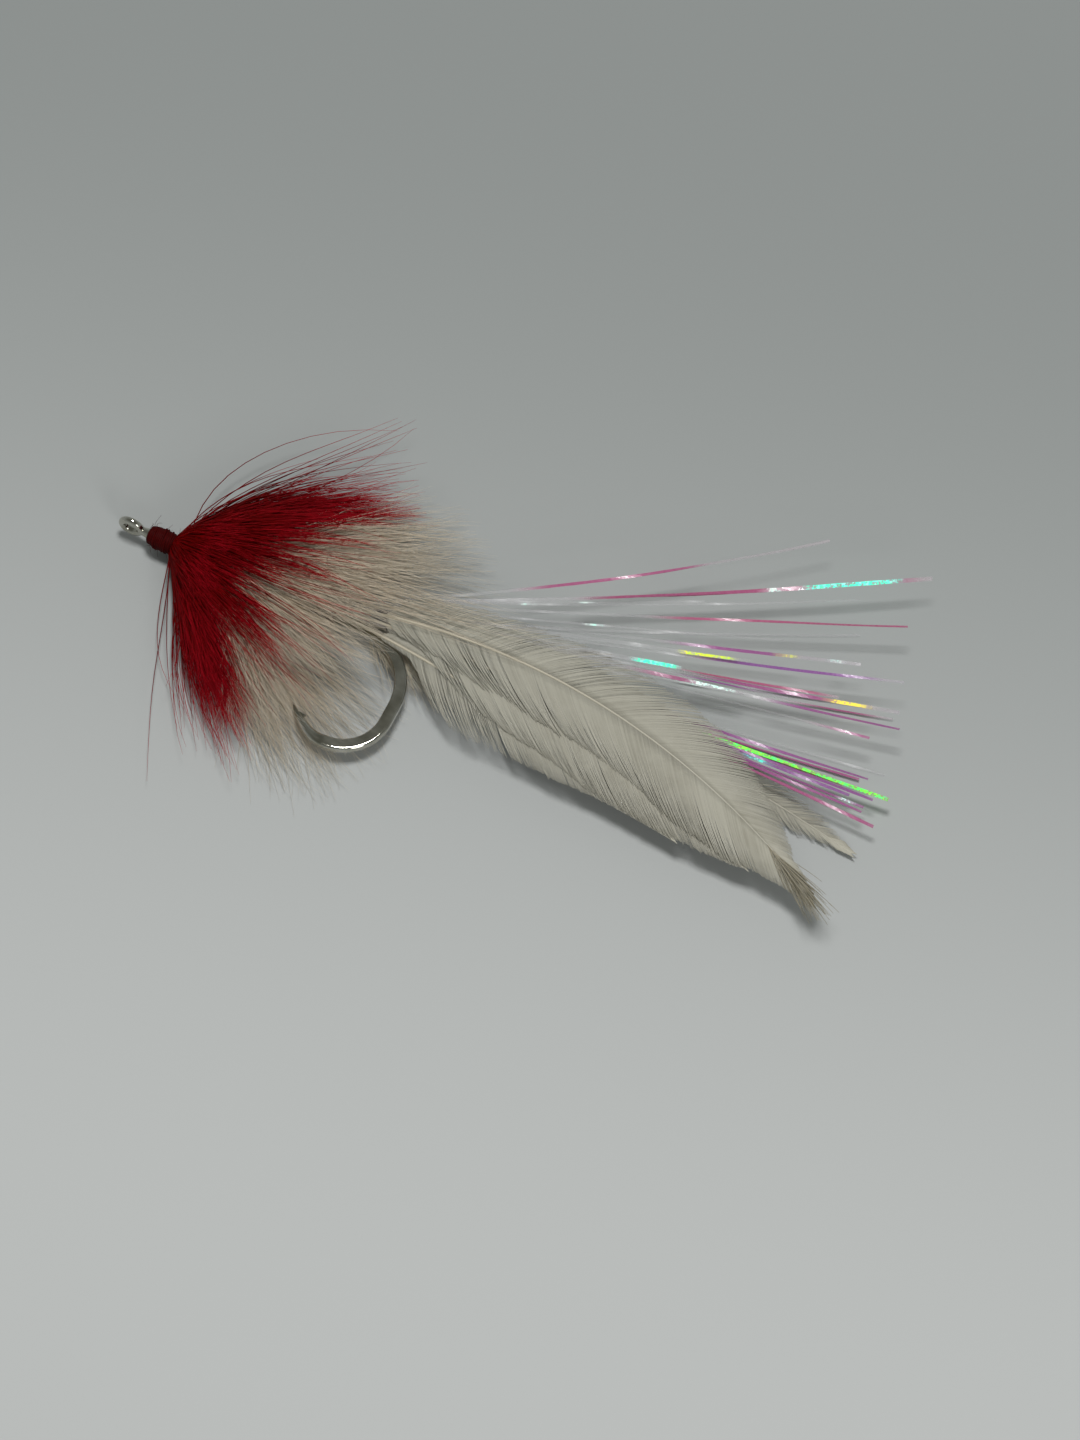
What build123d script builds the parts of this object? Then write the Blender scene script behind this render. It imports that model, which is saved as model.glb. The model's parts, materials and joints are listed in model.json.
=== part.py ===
from build123d import *
import os
from collections import namedtuple
from math import cos, pi, radians, sin

# Streamer fly tied on a single saltwater hook, lying on its side.
# Frame: origin at the centre of the hook's eye, +X along the shank towards the tail,
# +Y towards the fly's back (the point is on the -Y side), +Z up from the surface it lies on.

# ---------------------------------------------------------------- hook, driving sizes
wire_d = 1.5                # round wire of the shank
eye_wire_d = 1.04           # wire of the eye's ring, drawn down from the shank
eye_ring_r = 1.4            # middle of the ring's wire
eye_land_r = 0.92           # smoothed inner wall of the eye, the line's bore
shank_l = 35.5              # eye centre to the start of the bend
bend_r = 8.5                # upper arc of the bend
bend_drop = 2.6             # straight run between the two arcs
heel_r = 6.3                # lower arc of the bend
heel_turn = 130.0           # how far the lower arc turns, degrees
spear_l = 2.6               # straight run up to the point
forged_width = 1.75         # forged bend, measured in the hook's plane
forged_depth = 1.25         # forged bend, across the flats
forged_edge_r = 0.35
forging_run = 3.0           # shank length over which the round wire turns flat
point_r = 0.07
point_taper = 40.0          # part of the lower arc that already tapers, degrees
barb_l = 1.3
barb_h = 0.5
barb_depth = 0.5
barb_back = 0.9             # from the point to the barb's lip

# ---------------------------------------------------------------- thread
thread_layer = 0.15         # one even layer of thread over the shank
thread_start = 2.6          # first wrap behind the eye
tail_wrap_x = 27.6
tail_wrap_l = 3.4
tail_wrap_h = 0.5           # thread built up over the even layer
white_wrap_x = 13.6
white_wrap_l = 2.0
white_wrap_h = 0.6
red_wrap_x = 7.2
red_wrap_l = 2.0
red_wrap_h = 0.85
head_h = 0.65
head_front_h = 0.15
head_rear_h = 0.4
head_gap = 0.1              # bare thread between the head and the red collar's wraps

# ---------------------------------------------------------------- hackle feathers
hinge_gap = 0.3             # the quills start this far behind the tail wraps
hackle_gap = 0.1            # from the shank's side to the nearest feather's quill
hackle_step = 0.5           # from one feather to the next one outwards
vane_depth = 0.24
quill_depth = 0.36
quill_w = 0.8
quill_tip_w = 0.2
bare_quill_l = 8.5          # from the tail wraps to the first barbs
vane_points = 7

# ---------------------------------------------------------------- flash strands
strand_w = 0.8
strand_depth = 0.12
strand_gap = 0.27           # clear of the outermost feather
strand_step = 0.3           # from one fan of strands to the next
inner_fan_z = 0.25          # the fan that lies between the two feather sets

# ---------------------------------------------------------------- collar tufts
tuft_root_d = 0.6
tuft_tip_share = 0.25       # tip width as a share of the widest

Hackle = namedtuple("Hackle", "name tip_x tip_y bulge half_width root_y level")
Fan = namedtuple("Fan", "name root_y z tips")
Tuft = namedtuple("Tuft", "name turn sweep length tip_z width depth")

shank_r = wire_d / 2
base_r = shank_r + thread_layer
tail_wrap_r = base_r + tail_wrap_h
white_wrap_r = base_r + white_wrap_h
red_wrap_r = base_r + red_wrap_h
hackle_level = shank_r + hackle_gap + quill_depth / 2
tail_x = tail_wrap_x + tail_wrap_l + hinge_gap
flash_level = hackle_level + 2 * hackle_step + quill_depth / 2 + strand_gap

# Feathers, from the one next to the hook outwards. bulge is how far the rachis bows
# towards the back, level counts the steps away from the hook and its sign gives the side.
hackles = [
    Hackle("near_inner_hackle", 92.0, -11.5, 2.0, 5.0, 0.2, 1),
    Hackle("near_middle_hackle", 103.0, -12.0, 5.5, 6.2, 0.6, 2),
    Hackle("near_outer_hackle", 108.5, -10.5, 7.7, 7.2, 1.0, 3),
    Hackle("far_inner_hackle", 90.0, -9.0, 4.0, 5.5, 0.4, -1),
    Hackle("far_middle_hackle", 101.0, -5.0, 6.0, 6.2, 0.8, -2),
    Hackle("far_outer_hackle", 109.5, -0.2, 3.8, 5.0, 1.2, -3),
]

# Flash strands, one fan of cut lengths per bundle. Each tip is (x, y).
fans = [
    Fan("near_outer_flash", 2.0, flash_level + strand_step,
        [(86.9, 36.0), (98.5, 35.6), (101.8, 38.4), (102.0, 31.0), (96.0, 28.4)]),
    Fan("near_flash", 2.0, flash_level,
        [(102.2, 26.0), (104.9, 23.0), (106.3, 19.4), (107.1, 16.4), (105.6, 13.4), (98.0, 21.4)]),
    Fan("inner_flash", 2.0, inner_fan_z,
        [(107.1, 9.4), (110.7, 7.2), (110.6, 2.7), (107.9, 4.6), (103.0, 1.0), (104.5, 11.8)]),
    Fan("far_flash", 2.0, -flash_level - strand_step,
        [(97.0, 24.0), (101.0, 18.6), (106.0, 21.6), (104.0, 8.6), (108.0, 12.6)]),
]

# Collar tufts. turn is the root's place round the shank, from the back (+Y) towards +Z;
# sweep is the tuft's heading in the hook's plane, from +X towards the back.
red_tufts = [
    Tuft("red_back_tuft", 0, 43, 33, 1.6, 7.0, 1.6),
    Tuft("red_near_back_tuft", 60, 14, 30, 9.8, 8.0, 1.3),
    Tuft("red_near_belly_tuft", 120, -27, 30, 9.0, 8.0, 1.3),
    Tuft("red_belly_tuft", 180, -68, 30, 0.2, 7.0, 1.8),
    Tuft("red_far_belly_tuft", 240, -44, 22, -2.6, 5.0, 0.9),
    Tuft("red_far_back_tuft", 300, 30, 22, -2.6, 5.0, 0.9),
]
white_tufts = [
    Tuft("white_back_tuft", 0, 29, 33, 0.8, 6.0, 1.4),
    Tuft("white_near_back_tuft", 60, 12, 28, 7.6, 6.0, 1.0),
    Tuft("white_near_belly_tuft", 120, -30, 26, 6.6, 6.5, 1.0),
    Tuft("white_belly_tuft", 180, -50, 21, -0.4, 5.0, 1.6),
    Tuft("white_far_belly_tuft", 240, -20, 15, -2.7, 3.6, 0.7),
    Tuft("white_far_back_tuft", 300, 8, 15, -2.7, 3.6, 0.7),
]


def save(part, name):
    """Label a finished piece and write it to its own file."""
    part.label = name
    export_step(part, f"parts/{name}.step")


def polar(centre, radius, angle):
    """Point at an angle in degrees on a circle in the hook's plane."""
    return Vector(centre.X + radius * cos(radians(angle)), centre.Y + radius * sin(radians(angle)))


def wrap_tube(start, length, inner_r, outer_r):
    """Band of wound thread on the shank, with its rear edge rolled off."""
    with BuildPart() as band:
        with BuildSketch(Plane.YZ.offset(start)):
            Circle(outer_r)
            Circle(inner_r, mode=Mode.SUBTRACT)
        extrude(amount=length)
        rims = band.edges().filter_by(GeomType.CIRCLE).sort_by(SortBy.RADIUS)[-2:]
        fillet(rims, (outer_r - inner_r) * 0.4)
    return band.part


def bow(start, middle, end, t):
    """Point of the parabola that leaves start towards middle and arrives at end."""
    return start * (1 - t) ** 2 + middle * 2 * t * (1 - t) + end * t ** 2


def bow_heading(start, middle, end, t):
    """Unit direction of that parabola."""
    return ((middle - start) * (1 - t) + (end - middle) * t).normalized()


os.makedirs("parts", exist_ok=True)

# ---------------------------------------------------------------- hook
bend_centre = Vector(shank_l, -bend_r)
heel_centre = Vector(shank_l + bend_r - heel_r, -bend_r - bend_drop)
heel_full_turn = heel_turn - point_taper
taper_start = polar(heel_centre, heel_r, -heel_full_turn)
heel_end = polar(heel_centre, heel_r, -heel_turn)
spear_heading = Vector(sin(radians(-heel_turn)), -cos(radians(heel_turn)))
hook_point = heel_end + spear_heading * spear_l
shank_start = eye_ring_r
forging_start = shank_l - forging_run


def heel_plane(angle):
    """Plane across the wire where the lower arc has turned by an angle."""
    heading = Vector(sin(radians(-angle)), -cos(radians(angle)))
    return Plane(origin=polar(heel_centre, heel_r, -angle), x_dir=(0, 0, 1), z_dir=heading)


with BuildPart() as hook:
    # Neck behind the eye, round shank, then the run over which it is forged flat.
    with BuildSketch(Plane.YZ.offset(shank_start)):
        Circle(eye_wire_d / 2)
    with BuildSketch(Plane.YZ.offset(thread_start)):
        Circle(shank_r)
    loft()
    with BuildSketch(Plane.YZ.offset(thread_start)):
        Circle(shank_r)
    extrude(amount=forging_start - thread_start)
    with BuildSketch(Plane.YZ.offset(forging_start)):
        Circle(shank_r)
    with BuildSketch(Plane.YZ.offset(shank_l)):
        RectangleRounded(forged_width, forged_depth, forged_edge_r)
    loft()
    # Forged bend up to where the point's taper begins.
    with BuildLine() as bend_path:
        upper_arc = CenterArc(bend_centre, bend_r, 90, -90)
        Line(upper_arc @ 1, (upper_arc @ 1) - Vector(0, bend_drop))
        CenterArc(heel_centre, heel_r, 0, -heel_full_turn)
    with BuildSketch(Plane.YZ.offset(shank_l)):
        RectangleRounded(forged_width, forged_depth, forged_edge_r)
    sweep(path=bend_path.line)
    # Tapered point: the last of the arc, then the straight spear.
    with BuildSketch(heel_plane(heel_full_turn)):
        RectangleRounded(forged_depth, forged_width, forged_edge_r)
    with BuildSketch(heel_plane(heel_full_turn + point_taper / 2)):
        Ellipse(forged_depth * 0.48, forged_width * 0.44)
    with BuildSketch(heel_plane(heel_turn)):
        Ellipse(forged_depth * 0.42, forged_width * 0.33)
    with BuildSketch(Plane(origin=hook_point, x_dir=(0, 0, 1), z_dir=spear_heading)):
        Circle(point_r)
    loft()
    # Barb on the inside of the spear.
    inward = Vector(-spear_heading.Y, spear_heading.X)
    if inward.Y < 0:
        inward = inward * -1
    lip = hook_point - spear_heading * barb_back
    with BuildSketch(Plane.XY.offset(-barb_depth / 2)):
        with BuildLine():
            Polyline(lip, lip - spear_heading * barb_l + inward * (barb_h + shank_r / 2),
                     lip - spear_heading * barb_l, close=True)
        make_face()
    extrude(amount=barb_depth)
    # Eye: a closed ring whose hole runs along Y, with a smoothed inner land.
    with BuildSketch(Plane.XY):
        with Locations((eye_ring_r, 0)):
            Circle(eye_wire_d / 2)
    revolve(axis=Axis.Y)
    with BuildSketch(Plane.XZ.offset(-wire_d)):
        Circle(eye_land_r)
    extrude(amount=2 * wire_d, mode=Mode.SUBTRACT)
save(hook.part, "hook")

# ---------------------------------------------------------------- thread
with BuildPart() as thread_base:
    with BuildSketch(Plane.YZ.offset(thread_start)):
        Circle(base_r)
        Circle(shank_r, mode=Mode.SUBTRACT)
    extrude(amount=tail_wrap_x + tail_wrap_l - thread_start)
save(thread_base.part, "thread_base")

save(wrap_tube(tail_wrap_x, tail_wrap_l, base_r, tail_wrap_r), "tail_wraps")
save(wrap_tube(white_wrap_x, white_wrap_l, base_r, white_wrap_r), "white_collar_wraps")
save(wrap_tube(red_wrap_x, red_wrap_l, base_r, red_wrap_r), "red_collar_wraps")

head_end = red_wrap_x - head_gap
head_middle = (thread_start + head_end) / 2
with BuildPart() as thread_head:
    with BuildSketch(Plane.XY):
        with BuildLine() as head_outline:
            Spline((thread_start, base_r + head_front_h), (head_middle, base_r + head_h),
                   (head_end, base_r + head_rear_h))
            Polyline((head_end, base_r + head_rear_h), (head_end, base_r), (thread_start, base_r),
                     (thread_start, base_r + head_front_h))
        make_face()
    revolve(axis=Axis.X)
save(thread_head.part, "thread_head")


# ---------------------------------------------------------------- hackle feathers
def edge_line(start, middle, end, first, last, half_width, side):
    """Points along one edge of a strip whose half width is a function of its length."""
    points = []
    for i in range(vane_points):
        share = i / (vane_points - 1)
        t = first + (last - first) * share
        heading = bow_heading(start, middle, end, t)
        across = Vector(-heading.Y, heading.X) * side
        points.append(bow(start, middle, end, t) + across * half_width(share))
    return points


def hackle_solid(h):
    """Feather: a flat vane widest before its middle, on a quill that tapers to the tip."""
    side = 1 if h.level > 0 else -1
    z = side * (hackle_level + (abs(h.level) - 1) * hackle_step)
    start = Vector(tail_x, h.root_y)
    end = Vector(h.tip_x, h.tip_y)
    middle = (start + end) * 0.5 + Vector(0, 2 * h.bulge)
    vane_start = bare_quill_l / (h.tip_x - tail_x)

    def vane(share):
        return h.half_width * sin(pi * share ** 0.8) ** 0.7 if 0 < share < 1 else 0.0

    def quill(share):
        return (quill_w + (quill_tip_w - quill_w) * share) / 2

    with BuildPart() as feather:
        with BuildSketch(Plane.XY.offset(z - vane_depth / 2)):
            with BuildLine():
                Spline(*edge_line(start, middle, end, vane_start, 1, vane, 1))
                Spline(*edge_line(start, middle, end, vane_start, 1, vane, -1))
            make_face()
        extrude(amount=vane_depth)
        with BuildSketch(Plane.XY.offset(z - quill_depth / 2)):
            with BuildLine():
                back = Spline(*edge_line(start, middle, end, 0, 0.97, quill, 1))
                belly = Spline(*edge_line(start, middle, end, 0, 0.97, quill, -1))
                Line(back @ 0, belly @ 0)
                Line(back @ 1, belly @ 1)
            make_face()
        extrude(amount=quill_depth)
    return feather.part


for hackle in hackles:
    save(hackle_solid(hackle), hackle.name)


# ---------------------------------------------------------------- flash strands
for fan in fans:
    with BuildPart() as strands:
        with BuildSketch(Plane.XY.offset(fan.z - strand_depth / 2)):
            for tip in fan.tips:
                root = Vector(tail_x, fan.root_y)
                heading = (Vector(*tip) - root).normalized()
                edge = Vector(-heading.Y, heading.X) * strand_w / 2
                with BuildLine():
                    Polyline(root + edge, Vector(*tip) + edge, Vector(*tip) - edge, root - edge,
                             close=True)
                make_face()
        extrude(amount=strand_depth)
    save(strands.part, fan.name)


# ---------------------------------------------------------------- collar tufts
def tuft_solid(tuft, root_x, ring_r):
    """Clump of fibres: oval sections that widen into a fan and close in at the tips."""
    turn = radians(tuft.turn)
    sweep = radians(tuft.sweep)
    start = Vector(root_x, ring_r * cos(turn), ring_r * sin(turn))
    end = start + Vector(tuft.length * cos(sweep), tuft.length * sin(sweep), tuft.tip_z - start.Z)
    outward = Vector(0, cos(turn), sin(turn))
    middle = start + (end - start) * 0.35 + outward * 1.2
    stations = [(0.16, 0.45, 0.7), (0.45, 0.9, 1.0), (0.75, 1.0, 1.0), (1.0, tuft_tip_share, 0.6)]
    with BuildPart() as clump:
        with BuildSketch(Plane.YZ.offset(root_x)):
            with Locations((start.Y, start.Z)):
                Circle(tuft_root_d / 2)
        for t, width_share, depth_share in stations:
            heading = bow_heading(start, middle, end, t)
            across = Vector(-heading.Y, heading.X).normalized()
            with BuildSketch(Plane(bow(start, middle, end, t), x_dir=across, z_dir=heading)):
                Ellipse(tuft.width * width_share / 2, tuft.depth * depth_share / 2)
        loft()
    return clump.part


for tuft in red_tufts:
    save(tuft_solid(tuft, red_wrap_x + red_wrap_l, (base_r + red_wrap_r) / 2), tuft.name)
for tuft in white_tufts:
    save(tuft_solid(tuft, white_wrap_x + white_wrap_l, (base_r + white_wrap_r) / 2), tuft.name)
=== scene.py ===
"""Looks of a red and white streamer fly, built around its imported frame.

The frame gives every place: the hook, the thread wraps and the plain solids that stand for soft
collars, hackle feathers and flash strands. This file replaces each soft solid with separate
fibres, barbs and tapes, winds real thread over the wraps, and finishes the hook's wire.
Sizes are in millimetres and are turned into metres where a mesh is written.
"""

import json
import logging
import math
from dataclasses import dataclass
from enum import Enum

import bpy
import numpy as np
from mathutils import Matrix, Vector

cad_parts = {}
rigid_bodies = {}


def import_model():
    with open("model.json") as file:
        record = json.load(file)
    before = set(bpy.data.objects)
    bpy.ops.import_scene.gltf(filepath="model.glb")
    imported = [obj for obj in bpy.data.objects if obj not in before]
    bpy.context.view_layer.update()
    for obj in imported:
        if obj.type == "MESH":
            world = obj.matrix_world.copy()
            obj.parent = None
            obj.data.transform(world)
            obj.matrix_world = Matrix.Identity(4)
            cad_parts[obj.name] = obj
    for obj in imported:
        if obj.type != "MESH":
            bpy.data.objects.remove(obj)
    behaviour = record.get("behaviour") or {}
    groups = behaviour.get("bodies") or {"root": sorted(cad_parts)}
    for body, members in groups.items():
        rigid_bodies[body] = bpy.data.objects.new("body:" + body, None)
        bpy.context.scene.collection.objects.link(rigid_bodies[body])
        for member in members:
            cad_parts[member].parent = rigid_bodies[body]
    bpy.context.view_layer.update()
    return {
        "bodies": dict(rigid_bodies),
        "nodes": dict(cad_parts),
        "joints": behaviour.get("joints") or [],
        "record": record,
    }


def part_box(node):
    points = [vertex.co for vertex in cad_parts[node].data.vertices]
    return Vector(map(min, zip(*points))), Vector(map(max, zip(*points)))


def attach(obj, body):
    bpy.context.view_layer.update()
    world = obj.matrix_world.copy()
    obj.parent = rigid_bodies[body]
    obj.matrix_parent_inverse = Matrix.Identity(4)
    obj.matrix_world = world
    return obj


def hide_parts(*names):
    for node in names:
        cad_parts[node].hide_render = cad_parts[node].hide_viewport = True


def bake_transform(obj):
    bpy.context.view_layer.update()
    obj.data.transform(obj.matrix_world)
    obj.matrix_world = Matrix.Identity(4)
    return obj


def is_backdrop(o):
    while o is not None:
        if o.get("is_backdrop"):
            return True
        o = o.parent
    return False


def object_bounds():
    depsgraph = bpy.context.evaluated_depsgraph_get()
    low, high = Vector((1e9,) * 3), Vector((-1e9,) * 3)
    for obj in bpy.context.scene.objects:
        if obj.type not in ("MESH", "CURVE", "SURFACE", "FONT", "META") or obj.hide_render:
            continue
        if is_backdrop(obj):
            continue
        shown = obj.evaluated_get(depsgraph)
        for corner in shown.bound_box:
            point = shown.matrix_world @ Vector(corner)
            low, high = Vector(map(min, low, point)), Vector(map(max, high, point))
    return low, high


MM = 0.001
TAU = 2.0 * math.pi
UP = np.array([0.0, 0.0, 1.0])
FLOOR_GAP = 0.12
HEAD_SWELL = 0.22
SHANK_BODY = "dressed_hook"
LOG = logging.getLogger("streamer_fly")


# ------------------------------------------------------------------------------ surfaces
class Section(Enum):
    """Outline carried along a path, counter-clockwise, as (across, lift) pairs of half sizes."""

    HAIR = ((1.0, -0.58), (0.0, 1.15), (-1.0, -0.58))
    BARB = ((1.0, -0.40), (0.0, 0.80), (-1.0, -0.40))
    TAPE = ((1.0, -1.0), (1.0, 1.0), (-1.0, 1.0), (-1.0, -1.0))
    QUILL = ((1.0, 0.0), (0.62, 0.78), (0.0, 1.0), (-0.62, 0.78),
             (-1.0, 0.0), (-0.62, -0.78), (0.0, -1.0), (0.62, -0.78))


def unit(vectors: np.ndarray) -> np.ndarray:
    """Vectors of length one along the last axis."""
    length = np.linalg.norm(vectors, axis=-1, keepdims=True)
    return vectors / np.maximum(length, 1e-12)


def smooth_step(values: np.ndarray, low: float, high: float) -> np.ndarray:
    """Rises from 0 at low to 1 at high as 3t squared minus 2t cubed."""
    t = np.clip((values - low) / (high - low), 0.0, 1.0)
    return t * t * (3.0 - 2.0 * t)


def cubic_paths(controls: np.ndarray, steps: int) -> np.ndarray:
    """Many cubic Bezier curves at once.

    Formula: each point is the sum of its four controls weighted by (1-t)^3, 3t(1-t)^2,
    3t^2(1-t) and t^3.

    Args:
        controls: Control points, shape (paths, 4, 3).
        steps: Points along each path.

    Returns:
        Points, shape (paths, steps, 3).
    """
    t = np.linspace(0.0, 1.0, steps)
    weights = np.stack([(1 - t) ** 3, 3 * t * (1 - t) ** 2, 3 * t ** 2 * (1 - t), t ** 3], axis=1)
    return np.einsum("kc,ncd->nkd", weights, controls)


def closed_tubes(name: str, rings: np.ndarray, values: dict[str, np.ndarray],
                 smooth: bool = True) -> bpy.types.Object:
    """One mesh of many closed tubes, each a grid of rings with a face over either end.

    Formula: the point of path i, ring j and corner c is rings[i, j, c]; each side face joins two
    neighbouring corners of two neighbouring rings, wound so that it faces outwards.

    Args:
        name: Object and mesh name.
        rings: Points in millimetres, shape (paths, rings, corners, 3).
        values: Point attributes by name, each of shape (paths, rings).
        smooth: Whether the faces are shaded smooth.

    Returns:
        The linked object, standing at the origin.
    """
    count, along, around, _ = rings.shape
    index = np.arange(count * along * around, dtype=np.int32).reshape(count, along, around)
    turned = np.roll(index, -1, axis=2)
    sides = np.stack([index[:, :-1], turned[:, :-1], turned[:, 1:], index[:, 1:]], axis=-1)
    ends = np.concatenate([index[:, 0, ::-1], index[:, -1, :]], axis=0)
    loops = np.concatenate([sides.ravel(), ends.ravel()])
    totals = np.concatenate([np.full(sides.size // 4, 4, np.int32),
                             np.full(ends.shape[0], around, np.int32)])
    starts = np.concatenate([[0], np.cumsum(totals)[:-1]]).astype(np.int32)
    mesh = bpy.data.meshes.new(name)
    mesh.vertices.add(index.size)
    mesh.vertices.foreach_set("co", (rings * MM).astype(np.float32).ravel())
    mesh.loops.add(loops.size)
    mesh.loops.foreach_set("vertex_index", loops.astype(np.int32))
    mesh.polygons.add(totals.size)
    mesh.polygons.foreach_set("loop_start", starts)
    mesh.polygons.foreach_set("loop_total", totals)
    mesh.polygons.foreach_set("use_smooth", np.full(totals.size, smooth))
    for key, amounts in values.items():
        layer = mesh.attributes.new(key, "FLOAT", "POINT")
        layer.data.foreach_set("value", np.repeat(amounts.ravel(), around).astype(np.float32))
    mesh.update(calc_edges=True)
    mesh.validate()
    piece = bpy.data.objects.new(name, mesh)
    bpy.context.scene.collection.objects.link(piece)
    return piece


def carried(paths: np.ndarray, half_width: np.ndarray, half_depth: np.ndarray, section: Section,
            facing: np.ndarray, turn: np.ndarray | float = 0.0) -> np.ndarray:
    """Carries a section along many paths.

    Formula: across is facing crossed with the path's heading, lift is the heading crossed with
    across, both are turned about the heading, and each corner stands at the path's point plus
    across times its width and lift times its depth.

    Args:
        paths: Path points, shape (paths, steps, 3).
        half_width: Half of the section's width, shape (paths, steps).
        half_depth: Half of the section's depth, shape (paths, steps).
        section: The outline to carry.
        facing: Direction that the section's flat side faces, one vector or one for each path.
        turn: Turn about the path, in radians, one value or shape (paths, steps).

    Returns:
        Ring points, shape (paths, steps, corners, 3).
    """
    heading = unit(np.gradient(paths, axis=1))
    facing = np.broadcast_to(facing[:, None, :] if facing.ndim == 2 else facing, paths.shape)
    across = unit(np.cross(facing, heading))
    lift = np.cross(heading, across)
    turn = np.broadcast_to(np.asarray(turn, float), paths.shape[:2])[..., None]
    across, lift = (across * np.cos(turn) + lift * np.sin(turn),
                    lift * np.cos(turn) - across * np.sin(turn))
    corners = np.array(section.value)
    wide = half_width[..., None, None] * corners[:, 0, None]
    deep = half_depth[..., None, None] * corners[:, 1, None]
    return paths[:, :, None] + across[:, :, None] * wide + lift[:, :, None] * deep


def along_values(paths: np.ndarray, tone: np.ndarray) -> dict[str, np.ndarray]:
    """The two attributes that every fibre carries.

    Args:
        paths: Path points, shape (paths, steps, 3).
        tone: One random shade for each path, 0 to 1.

    Returns:
        along, from 0 at the root to 1 at the tip, and tone, the same all along a path.
    """
    count, steps, _ = paths.shape
    along = np.broadcast_to(np.linspace(0.0, 1.0, steps), (count, steps))
    return {"along": along, "tone": np.broadcast_to(tone[:, None], (count, steps))}


def fibres(name: str, lines: np.ndarray, taper: np.ndarray, flat: float, section: Section,
           facing: np.ndarray, values: dict[str, np.ndarray]) -> bpy.types.Object:
    """Tapered fibres of one section as one mesh.

    Args:
        name: Object and mesh name.
        lines: Centre lines, shape (fibres, steps, 3).
        taper: Half width along every fibre.
        flat: Depth as a share of the width.
        section: The fibres' section.
        facing: Direction that the flat side faces.
        values: Point attributes by name.

    Returns:
        The linked object.
    """
    size = np.broadcast_to(taper, lines.shape[:2])
    return closed_tubes(name, carried(lines, size, size * flat, section, facing), values)


def turning_lines(root: np.ndarray, first: np.ndarray, last: np.ndarray, reach: np.ndarray,
                  runs: tuple[float, float, float], steps: int) -> np.ndarray:
    """Cubics that leave their roots in one direction and end in another.

    Args:
        root: Where each line starts, shape (lines, 3).
        first: Direction at the root, shape (lines, 3).
        last: Direction of the last control, shape (lines, 3).
        reach: Size of each line, shape (lines, 1).
        runs: Shares of the reach: to the first control, to the second, and on to the end.
        steps: Points along each line.

    Returns:
        Points, shape (lines, steps, 3).
    """
    near, knee, onward = runs
    bend = root + first * reach * knee
    controls = np.stack([root, root + first * reach * near, bend, bend + last * reach * onward],
                        axis=1)
    return cubic_paths(controls, steps)


# ------------------------------------------------------------------------------ finishes
Colour = tuple[float, float, float]
Input = bpy.types.NodeSocket | Colour | float


class Shading:
    """Adds nodes to one shader tree and joins them up."""

    def __init__(self, tree: bpy.types.NodeTree) -> None:
        """Keeps the tree's nodes and links."""
        self.nodes, self.links = tree.nodes, tree.links

    def fill(self, node: bpy.types.Node, inputs: dict[str | int, Input]) -> None:
        """Links the inputs of a node or sets their constants.

        Args:
            node: The node.
            inputs: An output to link, a colour, a vector or a number, by the input's name.
        """
        for key, given in inputs.items():
            socket = node.inputs[key]
            if isinstance(given, bpy.types.NodeSocket):
                self.links.new(given, socket)
            else:
                socket.default_value = (*given, 1.0) if socket.type == "RGBA" else given

    def node(self, kind: str, inputs: dict[str | int, Input], **settings: object
             ) -> bpy.types.Node:
        """Adds a node.

        Args:
            kind: The node's type, without the prefix that all of them have.
            inputs: Links and constants by the input's name.
            **settings: The node's own options, set before its inputs.

        Returns:
            The node.
        """
        node = self.nodes.new("ShaderNode" + kind)
        for key, given in settings.items():
            setattr(node, key, given)
        self.fill(node, inputs)
        return node

    def read(self, name: str) -> bpy.types.NodeSocket:
        """Value of a point attribute."""
        return self.node("Attribute", {}, attribute_name=name).outputs["Fac"]

    def place(self, kind: str = "Object") -> bpy.types.NodeSocket:
        """Coordinates of the shaded point."""
        return self.node("TexCoord", {}).outputs[kind]

    def split(self, vector: Input) -> bpy.types.NodeOutputs:
        """The three parts of a vector, by their names X, Y and Z."""
        return self.node("SeparateXYZ", {"Vector": vector}).outputs

    def noise(self, vector: Input, scale: Input, detail: float) -> bpy.types.NodeSocket:
        """Noise at a vector."""
        return self.node("TexNoise", {"Vector": vector, "Scale": scale, "Detail": detail}
                         ).outputs["Fac"]

    def rise(self, value: Input, low: Input, high: float, shape: str = "LINEAR"
             ) -> bpy.types.NodeSocket:
        """Rises from 0 where the value is low to 1 where it is high."""
        return self.node("MapRange", {"Value": value, "From Min": low, "From Max": high},
                         interpolation_type=shape).outputs["Result"]

    def spread(self, value: Input, low: float, high: float) -> bpy.types.NodeSocket:
        """Carries a value from 0 to 1 to the range from low to high."""
        return self.node("MapRange", {"Value": value, "To Min": low, "To Max": high}
                         ).outputs["Result"]

    def maths(self, kind: str, first: Input, second: Input, clamp: bool = True
              ) -> bpy.types.NodeSocket:
        """Result of a sum or a comparison, held between 0 and 1 unless told not to."""
        return self.node("Math", {0: first, 1: second}, operation=kind, use_clamp=clamp
                         ).outputs["Value"]

    def mix(self, factor: Input, first: Input, second: Input) -> bpy.types.NodeSocket:
        """Colour that goes from the first to the second as the factor rises."""
        return self.node("Mix", {"Factor": factor, "A": first, "B": second}, data_type="RGBA"
                         ).outputs["Result"]

    def bump(self, height: Input, strength: float, distance: float) -> bpy.types.NodeSocket:
        """Normal of a surface raised by a height; the distance is in metres."""
        return self.node("Bump", {"Height": height, "Strength": strength, "Distance": distance}
                         ).outputs["Normal"]


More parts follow.
